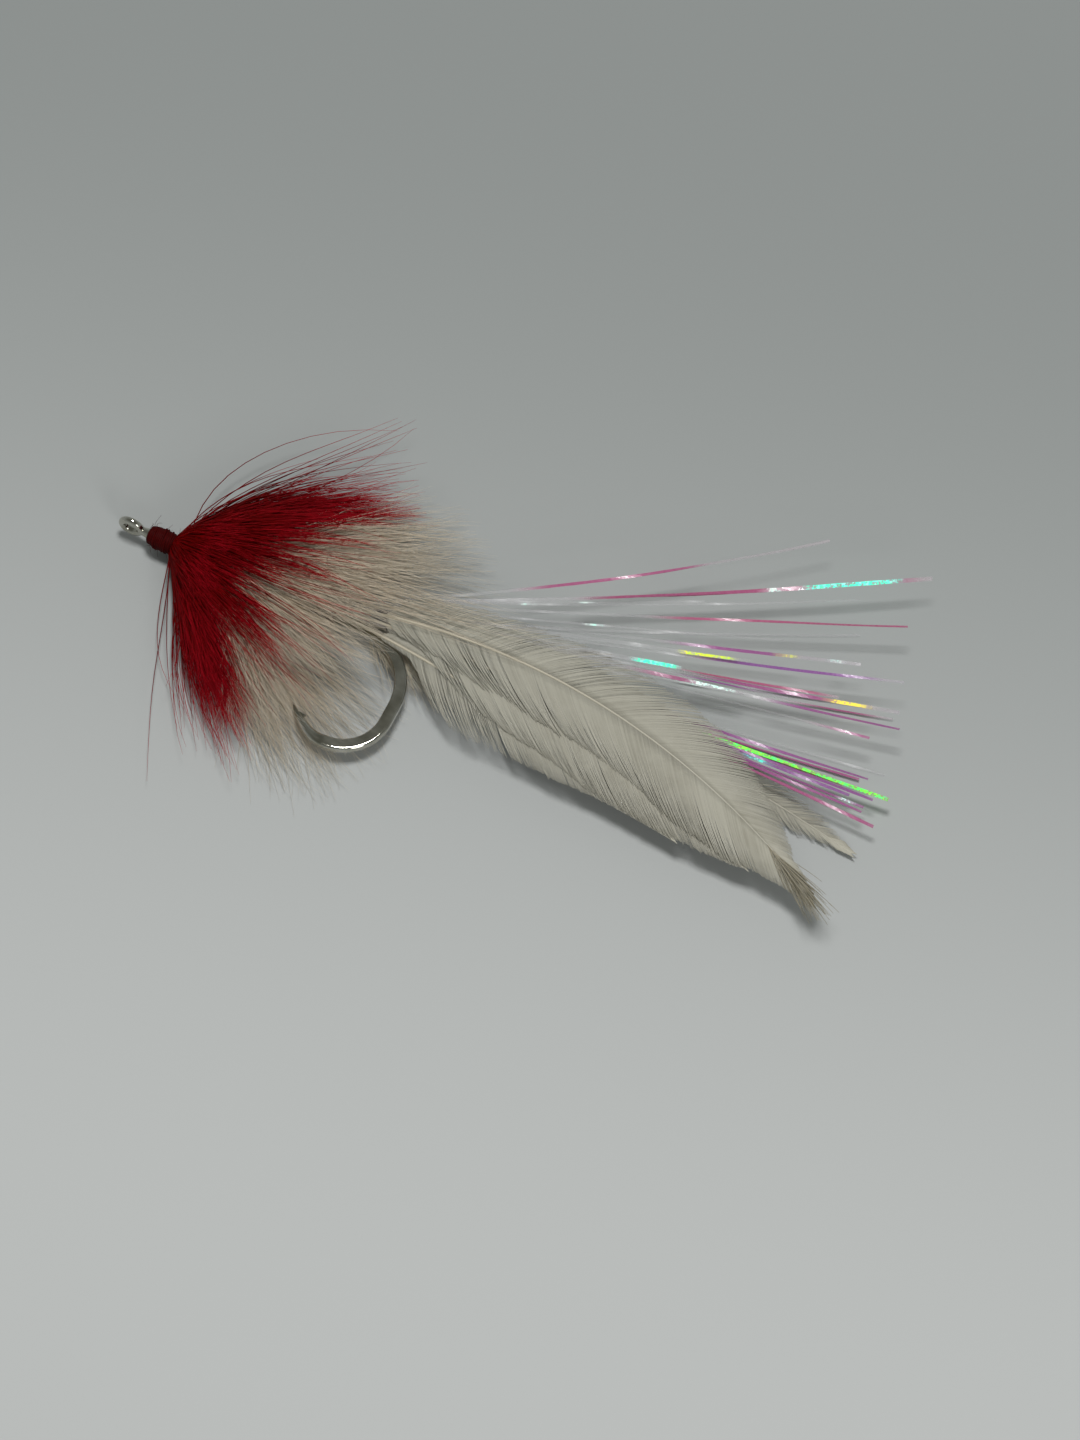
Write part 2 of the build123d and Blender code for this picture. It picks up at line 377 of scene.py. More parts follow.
class FibreShade:
    """Node group: colour of a fibre from root to tip, with a shade of its own and fine specks."""

    INPUTS = {"Root": (1.0, 1.0, 1.0, 1.0), "Tip": (1.0, 1.0, 1.0, 1.0),
              "Deep": (0.0, 0.0, 0.0, 1.0), "Tip From": 0.5, "Speck Scale": 900.0,
              "Shade Amount": 0.5}
    OUTPUTS = {"Colour": "NodeSocketColor", "Roughness": "NodeSocketFloat"}
    SPECK_DETAIL = 2.0
    ROUGHNESS = (0.38, 0.62)
    _tree: bpy.types.NodeTree | None = None

    @classmethod
    def tree(cls) -> bpy.types.NodeTree:
        """The group, built on first use."""
        if cls._tree is None:
            cls._tree = cls._build()
        return cls._tree

    @classmethod
    def _build(cls) -> bpy.types.NodeTree:
        """Builds the group.

        Formula: root and tip colours mixed by the place along the fibre, darkened towards the
        deep colour by the fibre's own shade and by noise in object space.

        Returns:
            The finished tree.
        """
        tree = bpy.data.node_groups.new("fibre_shade", "ShaderNodeTree")
        for key, default in cls.INPUTS.items():
            kind = "NodeSocketColor" if isinstance(default, tuple) else "NodeSocketFloat"
            socket = tree.interface.new_socket(name=key, in_out="INPUT", socket_type=kind)
            socket.default_value = default
        for key, kind in cls.OUTPUTS.items():
            tree.interface.new_socket(name=key, in_out="OUTPUT", socket_type=kind)
        shading = Shading(tree)
        given = tree.nodes.new("NodeGroupInput").outputs
        sink = tree.nodes.new("NodeGroupOutput")
        reach = shading.rise(shading.read("along"), given["Tip From"], 1.0, "SMOOTHSTEP")
        ends = shading.mix(reach, given["Root"], given["Tip"])
        specks = shading.noise(shading.place(), given["Speck Scale"], cls.SPECK_DETAIL)
        own = shading.maths("MULTIPLY", shading.read("tone"), specks, clamp=False)
        amount = shading.maths("MULTIPLY", own, given["Shade Amount"])
        shading.fill(sink, {"Colour": shading.mix(amount, ends, given["Deep"]),
                            "Roughness": shading.spread(specks, *cls.ROUGHNESS)})
        return tree


def blank_material(name: str) -> tuple[bpy.types.Material, bpy.types.Node, Shading]:
    """A material with a Principled shader.

    Args:
        name: The material's name.

    Returns:
        The material, its shader node and the means to add nodes.
    """
    material = bpy.data.materials.new(name)
    material.use_nodes = True
    tree = material.node_tree
    return material, tree.nodes["Principled BSDF"], Shading(tree)


@dataclass(frozen=True)
class FibreFinish:
    """Finish of a feather fibre: colours along it, sheen and how shiny it is."""

    name: str
    root: Colour
    tip: Colour
    deep: Colour
    tip_from: float = 0.5
    shade: float = 1.0
    sheen: float = 0.3
    specular: float = 0.5

    def material(self) -> bpy.types.Material:
        """Builds the material.

        Returns:
            A Principled material that reads the fibre's own attributes.
        """
        material, shader, shading = blank_material(self.name)
        fibre = shading.node("Group", {
            "Root": self.root, "Tip": self.tip, "Deep": self.deep, "Tip From": self.tip_from,
            "Shade Amount": self.shade}, node_tree=FibreShade.tree()).outputs
        shading.fill(shader, {"Base Color": fibre["Colour"], "Roughness": fibre["Roughness"],
                              "Sheen Weight": self.sheen, "Specular IOR Level": self.specular})
        return material


@dataclass(frozen=True)
class HackleFinish:
    """Finish of a hackle's vane: cream barbs that stain to brown towards the feather's tip."""

    name: str = "hackle_barbs"
    cream: Colour = (0.47, 0.45, 0.37)
    shadow: Colour = (0.19, 0.17, 0.12)
    stain: Colour = (0.31, 0.27, 0.18)
    speck_scale: float = 420.0
    shade: float = 0.75
    sheen: float = 0.25
    specular: float = 0.45

    def material(self) -> bpy.types.Material:
        """Builds the material.

        Returns:
            Fibre shade under a stain that follows the stain attribute.
        """
        material, shader, shading = blank_material(self.name)
        fibre = shading.node("Group", {
            "Root": self.cream, "Tip": self.cream, "Deep": self.shadow,
            "Speck Scale": self.speck_scale, "Shade Amount": self.shade},
            node_tree=FibreShade.tree()).outputs
        stained = shading.mix(shading.read("stain"), fibre["Colour"], self.stain)
        shading.fill(shader, {"Base Color": stained, "Roughness": fibre["Roughness"],
                              "Sheen Weight": self.sheen, "Specular IOR Level": self.specular})
        return material


@dataclass(frozen=True)
class FilmFinish:
    """Finish of the flash tape: clear mauve film with painted glints, painted highlights that glow
    by emission and shift from cyan to yellow.
    """

    name: str = "flash_film"
    clear: Colour = (0.62, 0.60, 0.62)
    pink: Colour = (0.52, 0.13, 0.25)
    purple: Colour = (0.33, 0.13, 0.40)
    dark: Colour = (0.0, 0.0, 0.0)
    # Ramp of the painted glint colours, the hues that the film reflects only at some angles.
    spread: tuple[tuple[float, Colour], ...] = (
        (0.00, (0.80, 0.95, 0.88)), (0.25, (0.10, 0.82, 0.66)), (0.50, (0.14, 0.85, 0.08)),
        (0.75, (0.70, 0.82, 0.06)), (1.00, (0.95, 0.66, 0.12)))
    cell_scale: float = 3300.0
    jitter: float = 0.18
    sparkling: float = 0.72
    steady: float = 0.35
    # Emission strength of the painted glints, which glow though the film is no lamp.
    painted_glow: float = 0.5
    cover: tuple[float, float] = (0.10, 0.84)
    coloured_cover: float = 0.80
    roughness: tuple[float, float] = (0.16, 0.36)

    def material(self) -> bpy.types.Material:
        """Builds the material.

        Formula: the shows attribute mixes the clear film into pink or purple by the
        strand's tone and sets its cover, so the tint shows with painted reflection where the
        strand catches the light; the painted glint's colour is picked from the ramp by the hue
        attribute jittered by fine cells, and is laid as a painted highlight into the colour and
        the glowing emission where the glint is stronger than the cell's own value.

        Returns:
            A Principled film whose alpha follows the shows and glint attributes.
        """
        material, shader, shading = blank_material(self.name)
        read, maths, mix = shading.read, shading.maths, shading.mix
        cells = shading.node("TexVoronoi", {"Vector": shading.place(), "Scale": self.cell_scale})
        parts = shading.split(cells.outputs["Color"])
        grain = parts["X"]
        moved = maths("ADD", read("hue"), maths("MULTIPLY", parts["Y"], self.jitter))
        ramp = shading.node("ValToRGB", {"Fac": maths("SUBTRACT", moved, self.jitter / 2)})
        stops = ramp.color_ramp.elements
        while len(stops) < len(self.spread):
            stops.new(0.5)
        for stop, (position, colour) in zip(stops, self.spread):
            stop.position = position
            stop.color = (*colour, 1.0)
        hue = ramp.outputs["Color"]
        # Painted highlight: the glint mask, broken into sparkles by the cells, sets where the
        # glint colour lights the base colour and the emission.
        sparkle = maths("GREATER_THAN", maths("MULTIPLY", read("glint"), self.sparkling), grain)
        shine = maths("ADD", maths("MULTIPLY", sparkle, 1.0 - self.steady), self.steady)
        lit = maths("MULTIPLY", read("glint"), shine)
        # The film's pink or purple tint, shown with painted reflection only where the strand
        # catches the light; clear film elsewhere.
        film = mix(read("shows"), self.clear, mix(read("tone"), self.pink, self.purple))
        shown = maths("MULTIPLY", read("shows"), self.coloured_cover)
        least, more = self.cover
        cover = maths("MULTIPLY", maths("MAXIMUM", shown, read("glint")), more)
        shading.fill(shader, {
            "Base Color": mix(lit, film, hue), "Emission Color": mix(lit, self.dark, hue),
            "Emission Strength": self.painted_glow, "Alpha": maths("ADD", cover, least),
            "Roughness": shading.spread(grain, *self.roughness)})
        return material


@dataclass(frozen=True)
class WireFinish:
    """Finish of the hook: bright tinned wire with drawing streaks and faint dull patches."""

    name: str = "tinned_wire"
    bright: Colour = (0.60, 0.585, 0.52)
    dull: Colour = (0.36, 0.345, 0.28)
    stretch: tuple[float, float, float] = (0.12, 1.0, 1.0)
    streaks: tuple[float, float] = (3800.0, 3.0)
    patches: tuple[float, float] = (260.0, 4.0)
    worn: tuple[float, float] = (0.40, 0.66)
    roughness: tuple[float, float] = (0.05, 0.13)
    bump: tuple[float, float] = (0.12, 0.00002)

    def material(self) -> bpy.types.Material:
        """Builds the material.

        Formula: broad noise mixes the bright and dull tin; noise stretched along the shank gives
        the streaks, which set the roughness and a fine bump.

        Returns:
            A metallic Principled material.
        """
        material, shader, shading = blank_material(self.name)
        place = shading.place()
        drawn = shading.node("Mapping", {"Vector": place, "Scale": self.stretch}).outputs["Vector"]
        streaks = shading.noise(drawn, *self.streaks)
        worn = shading.rise(shading.noise(place, *self.patches), *self.worn)
        shading.fill(shader, {"Base Color": shading.mix(worn, self.bright, self.dull),
                              "Roughness": shading.spread(streaks, *self.roughness),
                              "Normal": shading.bump(streaks, *self.bump), "Metallic": 1.0})
        return material


@dataclass(frozen=True)
class ThreadFinish:
    """Finish of the tying thread: dark red waxed nylon, with painted shade darkening the grooves
    of its wraps.
    """

    name: str = "tying_thread"
    face: Colour = (0.062, 0.001, 0.001)
    # Painted shade: the darker red laid into the grooves between wraps.
    painted_groove_shade: Colour = (0.014, 0.0005, 0.0005)
    fuzz: tuple[float, float] = (5200.0, 3.0)
    crown: float = 0.6
    roughness: tuple[float, float] = (0.42, 0.75)
    bump: tuple[float, float] = (0.35, 0.00004)
    specular: float = 0.05

    def material(self) -> bpy.types.Material:
        """Builds the material.

        Formula: the lay attribute, 0 in a groove and 1 on a wrap's crown, mixes the
        painted groove shade into the thread's own red; fine noise breaks the colour, the roughness
        and a small bump.

        Returns:
            A dull Principled material.
        """
        material, shader, shading = blank_material(self.name)
        fuzz = shading.noise(shading.place(), *self.fuzz)
        share = shading.maths("MULTIPLY", shading.read("lay"), fuzz, clamp=False)
        # Where the mask is low, the painted groove shade takes over from the thread's red.
        lit = shading.rise(share, 0.0, self.crown)
        shading.fill(shader, {"Base Color": shading.mix(lit, self.painted_groove_shade, self.face),
                              "Roughness": shading.spread(fuzz, *self.roughness),
                              "Normal": shading.bump(fuzz, *self.bump),
                              "Specular IOR Level": self.specular})
        return material


class Finishes:
    """Every material of the fly, built once."""

    def __init__(self) -> None:
        """Builds the materials."""
        self.wire = WireFinish().material()
        self.thread = ThreadFinish().material()
        self.red = FibreFinish("red_fibre", root=(0.20, 0.0005, 0.001), tip=(0.52, 0.005, 0.016),
                               deep=(0.05, 0.0005, 0.001), tip_from=0.45, shade=0.9, sheen=0.0,
                               specular=0.05).material()
        self.cream = FibreFinish("cream_fibre", root=(0.74, 0.61, 0.45), tip=(0.80, 0.73, 0.60),
                                 deep=(0.34, 0.25, 0.16), tip_from=0.3, shade=0.8, sheen=0.1,
                                 specular=0.3).material()
        self.down = FibreFinish("hackle_down", root=(0.56, 0.49, 0.36), tip=(0.62, 0.57, 0.46),
                                deep=(0.32, 0.25, 0.17), tip_from=0.3, shade=0.8, sheen=0.1,
                                specular=0.3).material()
        self.barbs = HackleFinish().material()
        self.quill = FibreFinish("hackle_quill", root=(0.53, 0.48, 0.37), tip=(0.56, 0.54, 0.46),
                                 deep=(0.47, 0.41, 0.31), tip_from=0.1, shade=0.5, sheen=0.0,
                                 specular=0.35).material()
        self.film = FilmFinish().material()


# ------------------------------------------------------------------------------ frame places
class Frame:
    """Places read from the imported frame, in millimetres."""

    def __init__(self, packed: dict) -> None:
        """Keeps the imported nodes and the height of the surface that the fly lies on.
        """
        self.nodes = packed["nodes"]
        self.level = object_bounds()[0].z / MM

    def span(self, node: str) -> tuple[np.ndarray, np.ndarray]:
        """Lowest and highest corner of a node."""
        low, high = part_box(node)
        return np.array(low) / MM, np.array(high) / MM

    def points(self, node: str) -> np.ndarray:
        """Every vertex of a node.

        Args:
            node: The node's name.

        Returns:
            Points, shape (vertices, 3).
        """
        mesh = self.nodes[node].data
        flat = np.empty(len(mesh.vertices) * 3, np.float32)
        mesh.vertices.foreach_get("co", flat)
        return flat.reshape(-1, 3).astype(float) / MM


def finish_piece(piece: bpy.types.Object, material: bpy.types.Material, slot: str,
                 *replaced: str) -> bpy.types.Object:
    """Gives a piece its material and hides the nodes that it stands for.

    Args:
        piece: The piece.
        material: Its material.
        slot: Not used.
        *replaced: Nodes that it replaces.

    Returns:
        The piece.
    """
    piece.data.materials.append(material)
    if replaced:
        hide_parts(*replaced)
    LOG.info("%s: %d faces", piece.name, len(piece.data.polygons))
    return piece


# ------------------------------------------------------------------------------ hook and thread
@dataclass
class Hook:
    """The hook keeps its own solid and takes the tinned finish."""

    frame: Frame
    finishes: Finishes

    def build(self) -> None:
        """Dresses the wire."""
        wire = self.frame.nodes["hook"]
        for held in wire.material_slots:
            held.material = self.finishes.wire
        LOG.info("hook: %d faces kept", len(wire.data.polygons))


@dataclass
class Winding:
    """Thread wound over the shank: a closed band whose surface is the wraps themselves."""

    frame: Frame
    finishes: Finishes
    node: str
    name: str
    pitch: float = 0.26
    ridge: float = 0.07
    shoulder: float = 0.25
    swell: float = 0.0
    around: int = 40
    rings_per_wrap: int = 6

    # Size and rate of the two waves, with the start of the one round the shank.
    ALONG_WAVE = (0.25, 0.23)
    ROUND_WAVE = (0.15, 3.0, 1.3)
    CROWN = 0.6
    LEAST_RINGS = 12

    def build(self) -> bpy.types.Object:
        """Winds the band between the ends of its node.

        Formula: the radius is the node's own radius, rolled off over the shoulders and swollen in
        the middle, plus the ridge times a power of the sine of the wrap's phase, where the phase
        is the place along the shank over the pitch less the turn round it. Two small waves, one
        along the shank and one round it, make the wraps uneven.

        Returns:
            The band.
        """
        low, high = self.frame.span(self.node)
        length = high[0] - low[0]
        outer = high[2]
        steps = max(self.LEAST_RINGS, int(length / self.pitch * self.rings_per_wrap))
        share = np.linspace(0.0, 1.0, steps)
        x = low[0] + length * share
        ends = np.minimum(share, 1.0 - share) * length / self.shoulder
        rolled = np.sqrt(1.0 - (1.0 - np.clip(ends, 0.0, 1.0)) ** 2)
        body = (outer - self.ridge) * (1.0 - self.swell * (2.0 * share - 1.0) ** 2)
        core = low_core(body, self.shoulder)
        turn = np.linspace(0.0, TAU, self.around, endpoint=False)
        phase = x[:, None] / self.pitch - turn[None, :] / TAU
        size, rate = self.ALONG_WAVE
        uneven = size * np.sin(TAU * rate * phase)
        size, rate, start = self.ROUND_WAVE
        uneven = uneven + size * np.sin(turn * rate + start)[None, :]
        # 0 in a groove and 1 on a crown: it shapes the ridges and tells the thread finish where to
        #                                 paint groove shade.
        lay = np.abs(np.sin(math.pi * phase)) ** self.CROWN
        radius = (core + (body - core) * rolled)[:, None] + self.ridge * lay * (1.0 + uneven)
        rings = np.stack([np.broadcast_to(x[:, None], radius.shape),
                          radius * np.cos(turn), radius * np.sin(turn)], axis=-1)
        band = closed_tubes(self.name, rings[None], {})
        layer = band.data.attributes.new("lay", "FLOAT", "POINT")
        layer.data.foreach_set("value", lay.astype(np.float32).ravel())
        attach(band, SHANK_BODY)
        return finish_piece(band, self.finishes.thread, "thread", self.node)


def low_core(body: np.ndarray, shoulder: float) -> np.ndarray:
    """Radius that a band rolls down to at its ends: two shoulders less, but over half."""
    return np.maximum(body - 2.0 * shoulder, body * 0.55)


@dataclass
class WhipFinish:
    """The head's last turns, laid steeply over the wraps, and the fuzz of cut thread ends."""

    frame: Frame
    finishes: Finishes
    turns: int = 3
    thread_r: float = 0.13
    fuzz_count: int = 26
    seed: int = 11
    steps: int = 72
    sweep: float = TAU * 1.15
    starts: tuple[float, float] = (0.18, 0.55)
    drift: float = 0.34
    proud: float = 0.15
    fuzz_steps: int = 7
    fuzz_gap: float = 0.1
    fuzz_reach: tuple[float, float] = (0.5, 1.5)
    fuzz_radii: tuple[float, float] = (0.03, 0.012)
    fuzz_root: float = 0.8
    fuzz_lean: float = 0.4
    fuzz_bend: float = 0.35
    fuzz_curl: float = 1.6
    fuzz_runs: tuple[float, float] = (0.4, 0.7)

    # How much the thread escapes the painted groove shade, 0 as in a groove and 1 as on a crown.
    TURN_CROWN_LIT = 0.9
    FUZZ_CROWN_LIT = 1.0
    FUZZ_FACING = np.array([0.2, 0.3, 1.0])

    def build(self) -> None:
        """Lays the crossing turns and the fuzz, from one random source."""
        rng = np.random.default_rng(self.seed)
        self.build_turns(rng)
        self.build_fuzz(rng)

    def build_turns(self, rng: np.random.Generator) -> None:
        """Lays the crossing turns.

        Formula: each turn is a helix whose place along the head drifts with its angle, at the
        head's own radius.

        Args:
            rng: The head's random source.
        """
        low, high = self.frame.span("thread_head")
        length = high[0] - low[0]
        angle = (np.linspace(0.0, self.sweep, self.steps)[None, :]
                 + rng.uniform(0, TAU, self.turns)[:, None])
        start = low[0] + length * np.linspace(*self.starts, self.turns)[:, None]
        x = start + length * self.drift * np.linspace(0.0, 1.0, self.steps)[None, :]
        share = (x - low[0]) / length
        radius = (high[2] * (1.0 - HEAD_SWELL * (2.0 * share - 1.0) ** 2)
                  + self.thread_r * self.proud)
        paths = np.stack([x, radius * np.cos(angle), radius * np.sin(angle)], axis=-1)
        size = np.full(paths.shape[:2], self.thread_r)
        rings = carried(paths, size, size, Section.QUILL, np.array([1.0, 0.0, 0.0]))
        turns = closed_tubes("head_crossing_turns", rings,
                             {"lay": np.full(size.shape, self.TURN_CROWN_LIT)})
        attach(turns, SHANK_BODY)
        finish_piece(turns, self.finishes.thread, "thread")

    def build_fuzz(self, rng: np.random.Generator) -> None:
        """Lays the fuzz: short cubics that leave the head at random angles.

        Args:
            rng: The head's random source.
        """
        low, high = self.frame.span("thread_head")
        length = high[0] - low[0]
        count = self.fuzz_count
        angle = rng.uniform(0, TAU, count)
        x = low[0] + length * rng.uniform(0.0, 1.0, count)
        lean = rng.normal(0.0, self.fuzz_lean, count)
        out = np.stack([lean, np.cos(angle), np.sin(angle)], axis=-1)
        radius = high[2] * self.fuzz_root
        root = np.stack([x, radius * np.cos(angle), radius * np.sin(angle)], axis=-1)
        reach = rng.uniform(*self.fuzz_reach, count)[:, None]
        bend = rng.normal(0.0, self.fuzz_bend, (count, 3))
        near, far = self.fuzz_runs
        controls = np.stack([root, root + out * reach * near, root + (out + bend) * reach * far,
                             root + (out + self.fuzz_curl * bend) * reach], axis=1)
        hairs = cubic_paths(controls, self.fuzz_steps)
        hairs[..., 2] = np.maximum(hairs[..., 2], self.frame.level + self.fuzz_gap)
        fuzz = fibres("head_thread_fuzz", hairs, np.linspace(*self.fuzz_radii, self.fuzz_steps),
                      1.0, Section.HAIR, self.FUZZ_FACING,
                      {"lay": np.full(hairs.shape[:2], self.FUZZ_CROWN_LIT)})
        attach(fuzz, SHANK_BODY)
        finish_piece(fuzz, self.finishes.thread, "thread")


# ------------------------------------------------------------------------------ collars
class Collar(Enum):
    """The two collars, with the wraps that hold each one's fibre roots."""

    RED = "red_collar_wraps"
    CREAM = "white_collar_wraps"


@dataclass(frozen=True)
class Lock:
    """Fibres that end together: the heading and reach of their tip, and how they scatter."""

    heading: float
    reach: float
    count: int
    z: float
    loose: float = 4.0
    gather: float = 1.6
    ragged: float = 0.14


@dataclass(frozen=True)
class Mass:
    """The dense short fibres at a clump's root, which spread over a whole sector."""

    headings: tuple[float, float]
    reach: tuple[float, float]
    z: tuple[float, float]
    count: int


@dataclass
class Tuft:
    """A clump of feather fibres that leaves the wraps on one side of the shank."""

    node: str
    collar: Collar
    turn: float
    mass: Mass
    locks: tuple[Lock, ...]
    seed: int
    thick: float = 0.075
    sweep_back: float = 1.45
    wave: float = 0.3
    root_run: float = 2.6
    steps: int = 12
    bends_with: str | None = None

    # How the fibres scatter: heights in millimetres, tones from 0 to 1, headings in degrees.
    SCATTER_Z = 0.4
    LOCK_TONE = (0.0, 0.3)
    FIBRE_TONE = (0.3, 0.2)
    MASS_TONE = (0.2, 0.8)
    MASS_LOOSE = 5
    LONGEST = 1.02
    # The wave: share of its full size, cycles along a fibre, and how it lifts and lags.
    WAVE_SIZE = (0.3, 1.0)
    WAVE_COUNT = (0.6, 1.6)
    WAVE_GROWS = 1.5
    WAVE_LIFT, WAVE_LAG = 0.5, 1.7
    # Where the roots sit in the wraps, and how far they lean out of them.
    SECTOR = 36
    ROOT_DEPTH = 0.85
    LIP = 0.2
    SHED = 0.5
    # The cubic's inner controls, as shares of the reach and of the climb.
    EARLY = (0.30, 0.50)
    LATE = (0.64, 0.95)
    BOW = 1.10
    # A fibre's section: its tip's share of the thickness, its depth, and how it faces.
    LEAST = 0.16
    FLAT = 0.8
    FACING = np.array([0.13, 0.07, 1.0])
    # Distances before and after the tail wraps' end that are handed to bend_at_tail.
    BEND = (4.0, 13.0)

    def targets(self, rng: np.random.Generator) -> dict[str, np.ndarray]:
        """Heading, scatter, reach, height and tone of every fibre.

        Args:
            rng: The clump's random source.

        Returns:
            Arrays by name, one value for each fibre: those of the mass, then lock by lock.
        """
        mass = self.mass
        count = np.array([lock.count for lock in self.locks])
        repeat = np.repeat(np.arange(len(self.locks)), count)

        def of_lock(name: str) -> np.ndarray:
            """A lock's value, repeated for each of its fibres."""
            return np.array([getattr(lock, name) for lock in self.locks])[repeat]

        some = count.sum()
        middle = of_lock("heading") + rng.normal(0, 1, some) * of_lock("loose")
        last = of_lock("heading") + rng.normal(0, 1, some) * of_lock("gather")
        short_by = np.abs(rng.normal(0, 1, some)) * of_lock("ragged")
        reach = of_lock("reach") * (self.LONGEST - short_by)
        height = of_lock("z") + rng.normal(0, self.SCATTER_Z, some)
        tone = np.repeat(rng.uniform(*self.LOCK_TONE, len(self.locks)), count)
        short = rng.uniform(*mass.headings, mass.count)
        return {
            "middle": np.radians(np.concatenate([short, middle])),
            "last": np.radians(np.concatenate(
                [short + rng.normal(0, self.MASS_LOOSE, mass.count), last])),
            "reach": np.concatenate([rng.uniform(*mass.reach, mass.count), reach]),
            "height": np.concatenate([rng.uniform(*mass.z, mass.count), height]),
            "tone": np.clip(np.concatenate(
                [rng.uniform(*self.MASS_TONE, mass.count),
                 tone + rng.normal(*self.FIBRE_TONE, some)]), 0.0, 1.0),
        }

    def paths(self, frame: Frame) -> tuple[np.ndarray, np.ndarray]:
        """Paths of the fibres.

        Formula: each fibre is a cubic from the wraps to its tip. It leaves at its heading times
        the sweep back, so it bows round towards its tip. A sine of growing size along the fibre
        adds its wave, and nothing goes lower than the surface below.

        Args:
            frame: The frame, for the wraps' place and the floor.

        Returns:
            Points, shape (fibres, steps, 3), and each fibre's tone.
        """
        rng = np.random.default_rng(self.seed)
        goal = self.targets(rng)
        count = goal["reach"].size
        low, high = frame.span(self.collar.value)
        turn = np.radians(self.turn + rng.uniform(-self.SECTOR, self.SECTOR, count))
        outward = np.stack([np.zeros(count), np.cos(turn), np.sin(turn)], axis=-1)
        root = outward * high[2] * self.ROOT_DEPTH
        root[:, 0] = high[0] - self.LIP - self.root_run * rng.random(count)
        reach = goal["reach"]
        rise = goal["height"] - root[:, 2]
        first = goal["middle"] * self.sweep_back
        middle, last = goal["middle"], goal["last"]

        def ahead(angle: np.ndarray, share: float, climb: float) -> np.ndarray:
            """Root moved along a heading by a share of the reach, with a share of the climb."""
            step = np.stack([np.cos(angle) * reach * share, np.sin(angle) * reach * share,
                             rise * climb], axis=-1)
            return root + step

        controls = np.stack([root, ahead(first, *self.EARLY) + outward * self.SHED,
                             ahead(middle * self.BOW, *self.LATE), ahead(last, 1.0, 1.0)], axis=1)
        lines = cubic_paths(controls, self.steps)
        t = np.linspace(0.0, 1.0, self.steps)
        size = (self.wave * rng.uniform(*self.WAVE_SIZE, count)[:, None]
                * t[None, :] ** self.WAVE_GROWS)
        phase = rng.uniform(0, TAU, count)[:, None]
        cycles = rng.uniform(*self.WAVE_COUNT, count)[:, None]
        sway = size * np.sin(TAU * cycles * t[None, :] + phase)
        side = np.stack([-np.sin(last), np.cos(last), np.zeros(count)], axis=-1)
        lines = lines + side[:, None, :] * sway[..., None]
        lift = np.cos(TAU * cycles * t[None, :] + self.WAVE_LAG * phase)
        lines[..., 2] += self.WAVE_LIFT * size * lift
        lines[..., 2] = np.maximum(lines[..., 2], frame.level + FLOOR_GAP)
        return lines, goal["tone"]

    def build(self, frame: Frame, finishes: Finishes) -> bpy.types.Object:
        """Builds the clump as one piece and ties it to the shank's body, or only bakes its
        transform when it has bends_with.

        Args:
            frame: The frame.
            finishes: The fly's materials.

        Returns:
            The clump.
        """
        lines, tone = self.paths(frame)
        t = np.linspace(0.0, 1.0, self.steps)
        taper = self.thick * (self.LEAST + (1.0 - self.LEAST) * (1.0 - t ** 1.5))
        name = self.node.replace("white", "cream") + "_fibres"
        clump = fibres(name, lines, taper, self.FLAT, Section.HAIR, self.FACING,
                       along_values(lines, tone))
        red = self.collar is Collar.RED
        if self.bends_with:
            bend_at_tail(frame, clump, self.bends_with, *self.BEND)
        else:
            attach(clump, SHANK_BODY)
        return finish_piece(clump, finishes.red if red else finishes.cream,
                            "red_fibre" if red else "white_fibre", self.node)


